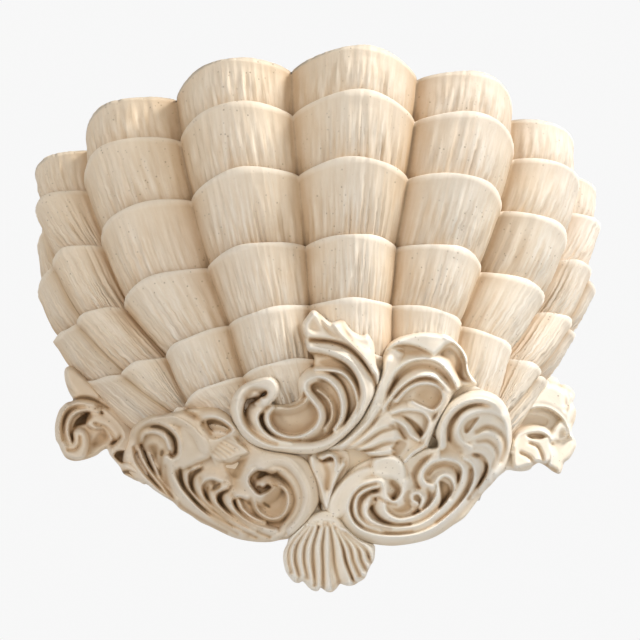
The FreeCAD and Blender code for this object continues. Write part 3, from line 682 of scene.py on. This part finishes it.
class Carving:
    # a field of heights, mm, over the pixels of the photograph
    def __init__(self, outline, ground, edge=None):
        self.outline = flowing(outline, closed=True)
        margin, cell = carvingSizes["margin"], carvingSizes["cell"]
        low, high = self.outline.min(0) - margin, self.outline.max(0) + margin
        self.px, self.py = np.meshgrid(np.arange(low[0], high[0], cell), np.arange(low[1], high[1], cell))
        self.gap, _, _, self.edgeX, self.edgeY = gapTo(self.outline, self.px, self.py)
        self.inside = within(self.outline, self.px, self.py)
        self.height = np.full(self.px.shape, float(ground))
        self.stainAndShade = np.zeros(self.px.shape)
        self.edge = edge or carvingSizes["edge"]

    def near(self, line, reach):
        box = ((self.px > line[:, 0].min() - reach) & (self.px < line[:, 0].max() + reach)
               & (self.py > line[:, 1].min() - reach) & (self.py < line[:, 1].max() + reach))
        return box, *gapTo(line, self.px[box], self.py[box])[:3]

    def ridge(self, half, height, points, endHalf=None):
        # a crest that drops off short inside its curve and falls away slowly outside it
        k = carvingSizes
        line = flowing(points)
        box, gap, along, side = self.near(line, max(half, endHalf or 0) * k["slope"] + 1)
        steps = np.diff(line, axis=0)
        turn = (steps[:-1, 0] * steps[1:, 1] - steps[:-1, 1] * steps[1:, 0]).sum()
        width = half + ((endHalf or half) - half) * along
        short = np.sqrt(np.clip(1 - (gap / width) ** 2, 0, 1))
        slow = np.clip(1 - gap / (width * k["slope"]), 0, 1) ** k["slopeBend"]
        slow *= 1 - k["crestDip"] * np.exp(-(gap / (k["dipWidth"] * width)) ** 2)
        share = np.where(side * turn < 0, np.maximum(slow, short * k["shortShare"]), short)
        ground = self.height[box]
        self.height[box] = np.maximum(ground, ground + (height - ground) * share)

    # a sunk line, with brown wash and painted shade along it
    def groove(self, half, depth, points, stainAndShade=0.6, endHalf=None):
        line = flowing(points)
        box, gap, along, _ = self.near(line, max(half, endHalf or 0) * 2 + 1)
        width = half + ((endHalf or half) - half) * along
        self.height[box] -= depth * carvingSizes["grooving"] * np.exp(-(gap / width) ** 2)
        self.stainAndShade[box] = np.maximum(self.stainAndShade[box], stainAndShade * np.exp(-(gap / width) ** 2))

    def patch(self, points, soft):
        # the cells inside a closed outline, and how far they lie in from it, 0 to 1
        line = flowing(points, closed=True)
        box, gap, _, _ = self.near(line, 2)
        return box, within(line, self.px[box], self.py[box]), np.clip(gap / soft, 0, 1)

    def swell(self, height, points, soft=4):
        # a rounded mass inside a closed outline
        box, inner, share = self.patch(points, soft)
        ground = self.height[box]
        lifted = ground + (height - ground) * np.sqrt(1 - (1 - share) ** 2)
        self.height[box] = np.where(inner, np.maximum(lifted, ground), ground)

    # a sunk patch, with brown wash and painted shade in it
    def hollow(self, floor, points, soft=4, stainAndShade=0.6):
        box, inner, share = self.patch(points, soft)
        share = share * share * (3 - 2 * share)
        ground, before = self.height[box], self.stainAndShade[box]
        self.height[box] = np.where(inner, np.minimum(ground + (floor - ground) * share, ground), ground)
        self.stainAndShade[box] = np.where(inner, np.maximum(before, stainAndShade * share), before)

    def made(self, name, node, plane=None, pieceShade=0):
        # one closed mesh over the cells inside the outline; the last argument above 0 adds wash and painted
        # shade over the whole piece, below 0 takes wash off as painted light: darker pieces toward the
        # left, paler toward the right
        k = carvingSizes
        share = np.clip(self.gap / self.edge, 0, 1)
        mass = softened(self.height, k["massSoftness"])
        carved = mass + (softened(self.height, 2) - mass) * k["detail"]
        height = carved * np.sqrt(1 - (1 - share) ** 2)
        # painted shade with the brown wash in sunken places and in grooves and hollows; painted highlight
        # on raised places
        sunken = np.clip((mass - softened(self.height, 1)) / k["sunkenAt"], -1, 1)
        washAndShade = k["sunkenWashAndShade"] * np.clip(sunken, 0, 1) + k["grooveWashAndShade"] * softened(self.stainAndShade, 2)
        # the last argument darkens or pales the whole piece: painted shade on pieces toward the left,
        # painted light on those toward the right
        washAndShade = np.clip(k["washAndShade"] + pieceShade + washAndShade * (1 + k["litPieceWashCut"] * min(pieceShade, 0)), 0, 1)
        chalkAndHighlight = np.clip(k["chalkAndHighlight"] + k["raisedHighlight"] * np.clip(-sunken, 0, 1) - washAndShade, 0, 1)
        cells = self.inside[:-1, :-1] & self.inside[1:, :-1] & self.inside[:-1, 1:] & self.inside[1:, 1:]
        numbers = np.arange(self.px.size).reshape(self.px.shape)
        a, b = numbers[:-1, :-1][cells], numbers[:-1, 1:][cells]
        c, d = numbers[1:, 1:][cells], numbers[1:, :-1][cells]
        quads = np.stack([a, d, c, b], 1)
        sides = np.vstack([quads[:, [n, (n + 1) % 4]] for n in range(4)])
        keys = sides[:, 0] * self.px.size + sides[:, 1]
        rim = sides[~np.isin(keys, sides[:, 1] * self.px.size + sides[:, 0])]
        onRim = np.zeros(self.px.size, bool)
        onRim[rim.ravel()] = True
        px = np.where(onRim, self.edgeX.ravel(), self.px.ravel())
        py = np.where(onRim, self.edgeY.ravel(), self.py.ravel())
        height = np.where(onRim, 0, height.ravel())
        used = np.unique(quads)
        fresh = np.full(self.px.size, -1)
        fresh[used] = np.arange(len(used))
        ray = rays(px, py)
        wallReach = (-k["nearestWall"] - eye[1]) / ray[:, 1]
        if plane is None:
            reach = np.minimum(onBowl(ray, onConsole(ray)), wallReach)
            reach = foremost(reach.reshape(self.px.shape), k["bedMargin"])
            reach = softened(reach, k["bedSoftness"]).ravel()
        else:
            reach = (-plane - eye[1]) / ray[:, 1]
        ray, wallReach = ray[used], wallReach[used]
        reach = np.minimum(reach[used], wallReach)
        front = eye + ray * (reach - height[used])[:, None]
        root = k["rootDepth" if plane is None else "earRoot"]
        behind = eye + ray * np.minimum(reach + root, wallReach)[:, None]
        count = len(used)
        quads, rim = fresh[quads], fresh[rim]
        faces = quads.tolist() + (quads[:, ::-1] + count).tolist()
        faces += np.stack([rim[:, 1], rim[:, 0], rim[:, 0] + count, rim[:, 1] + count], 1).tolist()
        values = {"washAndShade": np.concatenate([washAndShade.ravel()[used], np.full(count, k["backWashAndShade"])]),
                  "chalkAndHighlight": np.concatenate([chalkAndHighlight.ravel()[used], np.zeros(count)])}
        thing = meshFrom(name, np.vstack([front, behind]), faces, values, plaster)
        dressed(thing, "shell", node)
        print(name, "carved")


def carveCentreScroll():
    c = Carving("303,333 302,324 307,316 313,310 320,313 328,320 333,322 339,319 345,321 351,329 361,335 "
        "368,334 374,344 375,355 377,365 381,374 379,386 374,398 369,407 363,418 354,429 345,438 335,446 "
        "325,451 313,454.5 300,455 285,454 272,452 259,448 248,442 238,431 232,420 230,409 232,398 240,387 "
        "250,381 262,377 272,376 279,383 280,391 276,399 272,404 281,404 293,402 299,396 298,387 299,378 "
        "305,370 312,365 314,358 308,351 305,343", 4)
    c.swell(13, "303,333 302,324 307,316 313,310 320,313 333,322 343,320 351,329 361,335 368,334 374,344 "
        "377,365 381,374 378,388 368,368 352,350 335,342 318,340 309,339", 6)
    c.hollow(11, "307,330 309,320 314,315 320,322 323,331 315,335", 6, 0.1)
    c.groove(2, 3.5, "319,314 323,324 329,332 338,338", 0.25)
    c.groove(2, 4, "342,321 346,332 353,343 363,355", 0.3)
    c.ridge(2.2, 16, "334,324 341,334 352,344 364,357 373,372")
    c.ridge(9, 17, "258,387 251,389 240,394 236,404 236,413 240,425 248,435 258,442 270,447 285,449 "
        "300,449.5 315,449 328,445 340,437 350,428 358,417 364,406 367,394 364,380 358,368 350,359 338,352 "
        "325,348 311,346", 6.5)
    c.groove(2.2, 8, "311,340 329,341.5 340,344 350,349 359,357 367,367 374,378 377,389", 0.3)
    c.ridge(7, 18, "240,394 249,386 259,382 268,384 273,390 271,397 265,401", 5.5)
    c.swell(18, "262,379 271,378 278,384 280,392 276,400 268,406 259,407 254,403 258,399 265,398 267,393 "
        "262,387", 7)
    c.groove(3, 9, "264,395 259,391 252,391 246,397", 0.35)
    c.groove(2.6, 9, "258,401 250,401 245,408 244,417 249,427 257,435 267,441 277,444", 0.45, 1.6)
    c.ridge(4.2, 15, "262,409 257,413 256,420 260,429 267,436 277,441 290,444", 3)
    c.groove(2.2, 9, "269,407 263,412 261.5,420 266,429 275,436 287,439.5 300,440", 0.45, 1.5)
    c.hollow(6, "272,410 269,419 275,429 288,435 302,434 313,427 318,417 314,406 306,399 299,400 290,404 "
        "280,406", 5, 0.45)
    c.ridge(2.6, 15, "272,407 268,413 267.5,420 271,428 279,434.5 290,438 301,437 311,432 318,425 321,416 "
        "319,408 314,401 309,395 306,389 307,383 313,379", 3.2)
    c.ridge(2.2, 10, "278,408 291,409 303,404 309,396", 1.8)
    c.hollow(4, "310,384 318,381 328,386 336,396 339,409 336,421 329,428 322,431 325,420 323,407 316,398 "
        "310,391", 3, 0.35)
    c.ridge(1.6, 10, "317,390 324,395 330,402 332.5,411 331,420 325,429", 2.2)
    c.ridge(3.4, 15, "304,388 305,382 312,376.5 322,376.5 331,381 338,389 342,399 343,409 341,420 "
        "335,430", 2.4)
    c.hollow(3, "324,371 336,373 345,381 350,392 352,405 349,418 343,427 346,413 346,400 341,386 "
        "333,377", 2.5, 0.6)
    c.hollow(4, "318,361 330,357 342,360 352,368 359,380 361,394 360,408 355,419 357,405 355,391 349,378 "
        "339,370 325,368", 3, 0.45)
    c.ridge(1.7, 12, "316,370 328,370 340,372 348,378 354,387 357,396 358,405 355,416 349,426", 2.4)
    c.groove(2.2, 3, "312,357 312.5,366", 0.9)
    c.made("centreScroll", "centre_scroll")


def carveAcanthusSpray():
    c = Carving("326,449 338,441 352,428 364,412 371,398 376,384 382,371 383,356 388,345 397,338 409,334 "
        "422,332 435,333 447,335 455,341 462,348 467,357 468,366 471,375 477,383 473,387 464,387 457,391 "
        "452,398 448,407 441,419 435,430 430,441 427,449 416,454 405,464 397,459 393,466 378,462 366,454 "
        "350,449 338,452", 6)
    c.swell(12, "326,449 345,437 361,420 372,400 380,378 385,358 392,347 405,350 398,366 392,385 386,404 "
        "395,420 402,440 396,458 380,458 362,450", 7)
    c.swell(15, "385,352 392,343 404,336 422,332.5 440,334 455,341 446,345 439,352 434,356 427,352 416,347 "
        "404,345 393,347", 4)
    c.ridge(2.4, 16, "444,336 455,342 463,351 467,362 468,371 473,381", 1.6)
    c.hollow(3, "442,349 450,346 458,352 463,363 464,375 470,382 460,381 453,372 448,362 439,356", 3, 0.55)
    c.hollow(6, "395,349 406,348 416,350 424,355 416,357 405,355", 2.5, 0.35)
    c.ridge(3.4, 13, "380,398 387,383 395,371 404,363 416,358.5 429,358 440,362 448,370 454,380 "
        "458,389", 1.8)
    c.groove(2.6, 5, "389,393 399,377 410,369 422,366 434,368 444,376 452,388", 0.4)
    c.ridge(2.6, 14, "382,410 390,398 400,387 411,379 422,375 433,376 441,382 448,391", 2)
    c.groove(2, 5, "396,397 405,387 416,380.5 428,379.5 437,383 444,391", 0.4)
    c.hollow(5, "414,390 423,385 433,386 441,392 441,402 434,409 424,405 413,399", 7, 0.5)
    c.ridge(2.4, 13.5, "396,401 406,390 417,384 430,383 440,387.5 444,396 441,405 434,411 424,408 "
        "412,402", 2)
    c.hollow(3, "400,415 409,417 418,423 424,431 422,438 416,434 410,426", 2.5, 0.85)
    c.ridge(3, 14, "392,412 403,409 414,409 424,412 430,420 428,430 423,438", 2)
    c.ridge(2.4, 12, "386,418 396,420 405,426 411,435 418,440", 2)
    c.groove(2, 5, "390,425 398,429 405,438", 0.6)
    c.hollow(5, "399,438 392,445 390,453 397,458 404,452 408,443", 3, 0.5)
    c.ridge(1.6, 12, "405,462 412,454 421,448 428,442")
    c.ridge(5, 14, "446,393 448,402 441,415 433,428 428,442", 4)
    c.ridge(3, 13, "372,414 379,396 385,374 392,358", 2)
    c.groove(1.4, 2, "381,409 389,393 397,379", 0.15)
    c.groove(1.4, 2, "372,424 386,412 398,404", 0.15)
    for rib in ("342,446 356,434 368,422 379,406", "348,448 364,438 378,428 391,424",
                "352,451 368,446 382,440 394,438", "356,454 370,453 382,452 391,450"):
        c.ridge(2.4, 14, rib, 1.8)
        c.groove(1.5, 5, spots(rib) + (2.2, 4.4), 0.45)
    c.made("acanthusSpray", "acanthus_spray", pieceShade=-0.04)


def carveLeftApron():
    c = Carving("131,478 122,464 126,440 136,424 150,416 165,414 182,410 197,408 212,407 226,412 236,424 "
        "248,440 266,449 290,453 305,458 314,470 319,486 319,502 312,517 303,530 290,538 280,540 270,542 "
        "257,542 243,540 232,537 221,532 211,527 200,522 190,515 180,509 173,502 163,496 154,490 "
        "146,484", 5)
    c.swell(3, "150,490 166,470 200,462 240,466 270,455 300,465 312,495 300,528 270,541 235,536 200,520 "
        "170,500", 8)
    c.swell(14, "180,428 192,430 207,438 210,449 210,457 198,463 184,469 174,468 184,450", 5)
    c.ridge(8, 17, "136,438 141,426 152,418 168,415 184,420 198,431 206,446", 8)
    c.groove(2.4, 5, "186,411 200,420 211,433", 0.4)
    c.hollow(3, "205,421 213,418 224,422 230,429 221,433 210,431", 3, 0.5)
    c.ridge(2.4, 14, "198,424 203,418 214,416 226,421 234,430 226,437 213,441 204,436 198,425")
    c.swell(11, "210,448 216,441 229,434 240,443 249,452 236,458 222,462 211,456", 3)
    for line in range(6):
        c.groove(0.8, 2, [(213 + 2.6 * line, 452 - 3 * line), (224 + 3.4 * line, 462 - 3.4 * line)], 0.25)
    c.hollow(4, "222,464 236,459 250,456 247,466 240,480 229,478", 4, 0.5)
    c.ridge(5, 15, "131,452 133,440 139,428 150,421.5 162,422 173,428 180,437 182,448 180,458 173,462 "
        "166,459", 5)
    c.groove(2.4, 7, "139,446 139,434 146,427 157,426 168,431 175,440 176,452", 0.55)
    c.ridge(3, 13, "137,448 139,438 147,432 157,432 166,438 170,448", 2.4)
    c.hollow(4, "146,447 150,442 157,442 161,448 160,458 162,470 157,466 152,458", 5, 0.65)
    c.ridge(4, 14, "130,452 134,463 142,475 153,487 166,498", 3)
    c.groove(1.6, 6, "134,448 140,462 150,476 163,491 176,503", 0.45)
    c.ridge(2.8, 13, "138,447 144,462 153,475 164,488 176,501", 2)
    c.groove(1.4, 6, "144,452 151,468 160,482 172,496", 0.5)
    c.ridge(1.8, 11, "150,455 155,467 161,479 169,490 178,501", 1.6)
    c.groove(2.6, 7, "162,452 161,464 161,476 166,488 174,499", 0.55, 1.4)
    c.ridge(6, 15, "170,466 171,476 178,490 190,503 204,514 222,524 240,531", 3.5)
    c.groove(1.8, 8, "180,469 182,480 188,491 198,503 212,514 232,526", 0.55)
    c.ridge(1.8, 13, "199,467 189,471 187,480 190,490 198,500 210,511 226,521 244,529", 1.8)
    c.groove(3, 8, "199,469 193,477 193,486 199,497 210,508 226,518", 0.4, 1.4)
    c.ridge(3.4, 13, "222,480 212,477 203,480 200,488 204,499 214,510 228,520 246,529", 2.4)
    c.hollow(3, "209,491 213,485 221,482 221,489 214,492", 2, 0.8)
    c.groove(2, 5, "208,488 209,498 217,508 230,518 248,527", 0.4)
    c.ridge(3.4, 14, "226,487 216,491 215,501 223,511 237,521 254,530", 3)
    c.groove(2.6, 7, "227,490 222,494 223,503 231,512 246,522 262,529", 0.35, 1.4)
    c.ridge(4, 15, "247,496 239,494 232,497 230,503 235,512 246,521 260,527 275,531", 4)
    c.ridge(3, 11, "238,501 242,510 252,518 264,523", 3)
    for valley in ("165,466 168,487 179,504 203,520 227,532", "190,469 188,484 196,501 214,519 238,534",
                   "200,478 203,492 214,510 232,525 256,537", "214,484 217,498 229,513 250,528 270,537",
                   "232,495 238,510 253,522 274,529"):
        c.groove(2.8, 6, valley, 0.25, 1.6)
    c.swell(12, "246,468 262,459 285,455 300,465 311,485 313,502 306,519 292,534 270,540 285,520 291,500 "
        "284,482 266,472", 8)
    c.hollow(5, "262,481 270,475 280,480 288,492 287,506 279,515 267,514 258,505 262,494", 6, 0.45)
    c.groove(3, 7, "259,478 268,471.5 279,476 289,486 294,500 290,512 281,520 268,521 257,514 "
        "251,503", 0.55)
    c.ridge(2.4, 11, "271,481 279,484 287,491 289,500 287,510 281,517 271,519 261,514 255,506 254,500", 2.4)
    c.ridge(5.2, 16, "272,469 258,466 248,473 246,482 251,491 259,497 268,494 275,488", 3)
    c.ridge(3.4, 15, "263,484 268,482 274,487", 2)
    c.ridge(8, 18, "262,462 275,458 288,461 298,470 305,482 308,495 306,508 300,520 291,530", 5)
    c.groove(1.6, 2.5, "264,503 269,507", 0.9)
    c.made("leftApronScroll", "left_apron_scroll", pieceShade=0.12)


def carveRightApron():
    c = Carving("322,500 330,490 340,480 350,470 362,462 380,455 398,452 410,456 424,448 437,446 435,432 "
        "440,416 449,402 463,393 480,390 496,395 506,406 511,422 512,444 511,460 506,470 498,477 491,485 "
        "484,492 478,500 472,508 464,518 452,526 442,533 430,539 415,543 398,545.5 385,545.5 366,543 "
        "354,540 342,532 330,524 322,514", 5)
    c.swell(3, "345,500 355,486 372,478 398,480 420,470 446,455 470,450 500,455 494,482 470,510 440,532 "
        "400,544 365,540 348,522", 7)
    c.swell(12, "374,458 392,455 403,462 407,476 406,494 399,504 391,504 400,492 396,482 384,478 "
        "372,474", 5)
    c.swell(10, "326,505 336,488 350,474 368,466 378,472 362,480 350,494 346,512 334,520", 6)
    c.ridge(3.4, 15, "383,489 382,481 372,481 360,485 351,494 347,506 349,517 356,527 367,533 382,536.5 "
        "400,537 418,534.5 432,529 446,519 458,508 468,495 474,482 475,470 471,462 464,458", 2)
    c.groove(1.6, 6, "376,483 362,488 354,497 351.5,508 354,518 363,527 377,532 396,533 412,531", 0.4)
    c.ridge(2.6, 14, "378,486 367,489 358,495 355,505 357,516 366,525 380,530", 2.4)
    c.groove(2.4, 7, "381,489 370,492 362,499 360,509 363,519 374,526 390,528", 0.5)
    c.ridge(4.2, 14, "371,501 365,507 365,515 371,522 383,527 400,528.5 416,527 429,521 440,512 449,502 "
        "457,490 463,478 464,469 459,462 450,458.5 440,458.5 430,462 423,469 421,477 425,484 433,487", 3)
    c.groove(2.6, 9, "374,499 371,506 375,514 383,521 396,525 410,524", 0.75, 1.4)
    c.ridge(4, 14, "384,500 383,508 388,516 398,520.5 410,519 421,514 430,507 436,498 438,489 437,481", 1.8)
    c.hollow(3, "390,506 398,506 408,500 412,505 411,511 402,514 394,512", 3, 0.5)
    c.hollow(3, "406,490 412,490 410,497 413,502 405,505 402,498", 2.5, 0.6)
    c.ridge(2.8, 12, "421,508 423,499 419,493 413,494 412,500 417,503", 1.8)
    c.groove(1.8, 5, "428,489 429,497 424,507 414,514", 0.45)
    c.hollow(2, "438,482 443,480 450,485 451,494 444,505 437,511 440,498", 2.5, 0.75)
    c.ridge(2.4, 13, "432,487 437,480 444,475 451,478 455,487 452,497 445,508 434,518", 2)
    c.groove(2, 6, "428,474 434,468 443,465 452,467 458,474 458,484 451,498", 0.4)
    c.groove(2, 6, "470,470 468,483 461,496 450,510 436,522", 0.5)
    c.hollow(4, "410,472 420,458 436,452 424,466 418,478 422,489 414,488", 3, 0.45)
    c.hollow(5, "446,440 450,424 460,412 456,426 456,438 464,448 456,450", 4, 0.5)
    c.ridge(7, 17, "440,444 441,426 449,411 463,401 480,398 495,403 504,414", 6)
    c.groove(2, 5, "449,440 451,426 459,414 472,407 488,407", 0.35)
    c.swell(12, "462,412 478,405 496,406 507,414 510,430 509,450 504,462 494,478 488,466 470,448 458,436 "
        "457,424", 6)
    c.ridge(3.6, 17, "470,448 460,440 457,429 463,418 474,411.5 487,410 498,413 506,421 509,434 508,448 "
        "503,461 496,473", 2.6)
    c.hollow(7, "463,426 469,419 480,416 474,426 468,433 464,433", 2.5, 0.45)
    c.groove(2.6, 8, "477,432 486,427.5 496,430 503,438 505,449 501,461", 0.65)
    c.ridge(2.8, 15, "466,440 474,437 484,432.5 494,435 500,443 501,454 496,467 489,479", 2)
    c.groove(2, 7, "478,442 487,441 494,446 497,455 493,467", 0.6)
    c.ridge(2.4, 14, "470,446 479,444 488,446 494,453 495,463 489,476 480,489", 2)
    c.groove(2.4, 8, "474,455 481,456 486,463 486,473 479,485 468,499", 0.8, 1.4)
    c.ridge(2, 12, "466,453 474,451 483,453 489,460 489,470 483,482 472,495", 1.8)
    c.ridge(2, 11, "465,458 473,458 477,465 476,476 470,489", 1.6)
    c.groove(2.4, 5, "391,483 397,490 393,499", 0.4)
    c.ridge(3.2, 13, "383,489 385,496 391,502 398,502 404,494 406,482", 3.5)
    c.groove(1.6, 5, "379,498 388,503 396,505", 0.6)
    c.made("rightApronScroll", "right_apron_scroll", pieceShade=-0.08)


def carveCentreLeaf():
    c = Carving("296,452 312,449 330,447 346,450 350,462 346,474 340,486 337,500 338,514 330,520 318,522 "
        "312,514 318,500 312,486 302,470", 2, 3)
    c.swell(8, "311,456 322,461 334,460 342,466 336,482 330,500 326,511 320,500 314,482 308,466", 5)
    c.ridge(2.4, 11, "312,458 314,468 319,480 323,492 326,506", 1.6)
    c.ridge(2.4, 11, "343,464 337,474 332,486 329,498 327,507", 1.6)
    c.ridge(2, 13, "322,458 329,455 334,457 336,463 335,470", 1.4)
    c.groove(3, 3, "325,464 328,474 327,488", 0.5)
    c.groove(2.6, 5, "334,514 335,505 335,497", 1.0, 1.6)
    c.groove(2.6, 5, "322,508 317,500 313,490", 0.8, 1.4)
    c.ridge(2.2, 8, "305,470 311,484 316,496", 1.6)
    c.made("centreLeaf", "centre_leaf")


def carvePendantShell():
    c = Carving("302,524 310,515 321,510 333,511 341,520 350,531 362,540 374,545 375,553 374,560 371,565 "
        "368,571 365,578 359,582 354,585 349,586 344,585 340,584 336,589 332,592 327,592 321,588 318,591 "
        "314,591 309,588 303,581.5 299,583 294,582 290,578 286,572 284,565 283,557 284,550 287,544 "
        "290,536", 8, 3)
    c.swell(12, "290,545 310,525 334,520 352,536 368,552 362,574 340,580 326,588 300,578 288,562", 12)
    # from the neck to the scalloped hem
    flutes = [spots(line) for line in (
        "303,527 288,545 286,560 288,569", "308,526 293,545 291,561 295,576",
        "311,527 302,543 300,558 303,574", "315,527 309,545 308,562 312,582",
        "322,527 318,546 319,566 318,587", "327,528 327,546 327,566 329,588",
        "333,527 339,546 342,562 350,582", "337,529 346,547 350,562 356,578",
        "341,531 353,546 357,561 363,573", "344,532 361,548 365,559 369,567",
        "347,533 367,547 372,554 373,559")]
    for flute in flutes:
        c.ridge(2.6, 16, flute, 3.4)
    for left, right in zip(flutes, flutes[1:]):
        c.groove(1.3, 5, (left + right) / 2, 0.5, 2.0)
    c.ridge(3, 12, "300,530 311,521 325,519 337,522 350,533 364,542", 2.4)
    c.groove(1.8, 4, "318,527 327,524.5 337,528", 0.3)
    c.made("pendantShell", "pendant_shell", pieceShade=-0.1)


def carveRibbonFold():
    c = Carving("196,430 206,424 220,424 236,432 250,444 254,456 240,470 226,470 208,464 198,450", 4, 3)
    c.swell(9, "204,436 220,430 238,440 246,452 232,462 212,458", 5)
    c.made("ribbonFold", "ribbon_fold", pieceShade=0.08)


def carveLeftEar():
    c = Carving("73,400 66,403 60,409 57,416 55,425 55,433 56,440 59,445 61,450 65,457 70,460 76,461 "
        "83,460 90,458 97,455 102,451 107,449 110,455 115,461 120,467 123,473 127,476 133,479 138,481 "
        "146,484 150,470 145,450 140,430 130,416 115,404 102,394 92,382 82,372 72,366 65,369 65,380 "
        "69,392", 8)
    c.ridge(6, 19, "92,404 78,402 67,406 60,415 58,427 60,439 64,447", 5)
    c.swell(14, "64,370 72,367 82,374 92,384 100,394 96,402 84,398 74,392 66,382", 6)
    c.groove(2.2, 7, "68,402 80,398 94,400 108,408", 0.8)
    c.groove(1.8, 6, "84,407 72,408 65,416 62,428 63,440", 0.45)
    c.ridge(3.4, 17, "98,411 85,409 74,413 68,422 67,433 70,443", 2.6)
    c.hollow(3, "72,429 75,420 82,414 91,412 94,418 86,425 78,427", 3, 0.8)
    c.swell(15, "90,412 104,414 116,422 122,434 112,442 104,430 94,430 86,424", 5)
    c.hollow(6, "94,434 102,429 109,433 110,441 103,447 93,450 89,443", 6, 0.55)
    c.groove(2, 6, "96,424 106,428 114,438 112,448", 0.4)
    c.swell(17, "73,440 73,432 79,428 86,431 89,440 88,450 84,458 76,460 68,457 63,449 70,444", 5)
    c.groove(1.5, 5, "80,437 80,444 75,450 68,450", 0.4)
    c.ridge(6, 15, "108,412 120,424 126,436 120,446 112,450", 5)
    c.hollow(3, "113,455 118,450 127,451 129,459 122,464 116,460", 2.5, 0.85)
    c.swell(12, "123,466 128,462 136,466 140,476 132,472", 3)
    c.groove(2, 5, "124,472 131,473 138,478", 0.8)
    c.made("leftEarLeaf", "left_ear_leaf", carvingSizes["earPlane"], pieceShade=0.14)


def carveRightEar():
    c = Carving("500,415 508,408 520,400 532,393 540,386 545,377 556,378 560,384 566,385 572,389 575,396 "
        "573,403 576,411 575,420 572,428 572,434 575,440 576,446 573,453 569,459 564,463 562,470 559,474 "
        "552,471 547,467 542,464 538,463 533,466 529,470 520,471.5 510,470 502,468 498,440", 8)
    c.swell(17, "512,410 530,398 545,384 560,386 574,396 574,412 568,424 556,412 540,406 522,412", 6)
    c.groove(2.4, 4, "560,386 565,394 565,404", 0.25)
    c.ridge(2.2, 17, "524,409 540,406 552,409 562,417 569,428 571,436", 1.8)
    c.hollow(6, "512,424 522,415 536,413 550,418 546,428 530,429 514,438 511,452", 4, 0.4)
    c.swell(15, "512,446 515,436 524,430 540,430 549,435 553,428 560,420 567,422 569,434 562,440 552,442 "
        "552,456 546,464 534,464 514,468", 4)
    c.hollow(8, "526,434 538,432 547,436 540,441 530,440", 3, 0.4)
    c.ridge(2.4, 16, "514,446 518,436 528,431 540,430 549,435 552,440", 1.8)
    c.hollow(10, "555,434 562,427 569,433 570,444 561,455 554,446", 6, 0.25)
    c.ridge(2, 15, "528,442 540,442 548,447 552,455 550,464", 1.6)
    c.groove(1.8, 6, "530,443 537,446 541,453 543,460", 0.6)
    c.ridge(2.4, 14, "512,452 522,450 530,455 536,462", 2)
    c.groove(2, 6, "521,453 529,457 535,463 546,465 556,471", 0.7)
    c.groove(2, 4, "568,392 570,402 566,410", 0.4)
    c.made("rightEarLeaf", "right_ear_leaf", carvingSizes["earPlane"], pieceShade=-0.16)


carveCentreScroll()
carveAcanthusSpray()
carveLeftApron()
carveRightApron()
carveCentreLeaf()
carvePendantShell()
carveRibbonFold()
carveLeftEar()
carveRightEar()

# the pieces that stay as they are in the frame take their finish from their slot
for row in frame["record"]["subparts"]:
    if row["node"] not in replaced:
        mesh = frame["nodes"][row["node"]].data
        mesh.materials.clear()
        mesh.materials.append(finishes[row["material_slot"]])
print("frame pieces finished")

stageSizes = {"floor": -750, "reach": 6000, "backdrop": 3000}  # mm
worldLight = {"tint": (0.97, 0.98, 1.0, 1), "strength": 0.3}
lampTarget = (0, -0.08, -0.05)
lampSizes = {  # place, size, watts, tint
    "key": ((1.5, -1.2, 1.35), 0.7, 59, (1.0, 0.99, 0.98)),
    "fill": ((-1.5, -1.7, -0.1), 1.0, 15, (0.985, 0.985, 1.0)),
    "under": ((0.9, -1.7, -0.7), 1.0, 9, (1.0, 0.985, 0.965)),
    "rim": ((0.2, 1.2, 1.6), 1.2, 3, (1.0, 1.0, 1.0)),
}


def makeStage():
    pale = Finish("paleStage")
    pale.set(Base_Color=(0.5, 0.5, 0.5), Roughness=0.9)
    pale.set(Emission_Color=(0.93, 0.93, 0.93), Emission_Strength=0.1)
    glow = Finish("paleBackdrop")
    glow.set(Base_Color=(0, 0, 0), Roughness=1.0, Specular_IOR_Level=0.0)
    glow.set(Emission_Color=(0.935, 0.935, 0.935), Emission_Strength=1.0)
    r, z, y = stageSizes["reach"], stageSizes["floor"], stageSizes["backdrop"]
    level = [(-r, -r, z), (r, -r, z), (r, r, z), (-r, r, z)]
    upright = [(-r, y, z), (r, y, z), (r, y, r), (-r, y, r)]
    floor = meshFrom("floor", level, [(0, 1, 2, 3)], {}, pale.material)
    backdrop = meshFrom("backdrop", upright, [(0, 1, 2, 3)], {}, glow.material)


def makeLights():
    for name, (place, width, power, tint) in lampSizes.items():
        data = bpy.data.lights.new(name, "AREA")
        data.shape = "DISK"
        data.size = width
        data.energy = power
        data.color = tint
        lamp = bpy.data.objects.new(name, data)
        lamp.location = place
        way = Vector(lampTarget) - Vector(place)
        lamp.rotation_euler = way.to_track_quat("-Z", "Y").to_euler()
        bpy.context.scene.collection.objects.link(lamp)
    world = bpy.data.worlds.new("studio")
    world.use_nodes = True
    background = world.node_tree.nodes["Background"]
    background.inputs[0].default_value = worldLight["tint"]
    background.inputs[1].default_value = worldLight["strength"]
    bpy.context.scene.world = world
    bpy.context.scene.view_settings.view_transform = "Standard"


makeStage()
makeLights()
print("stage and lights made")
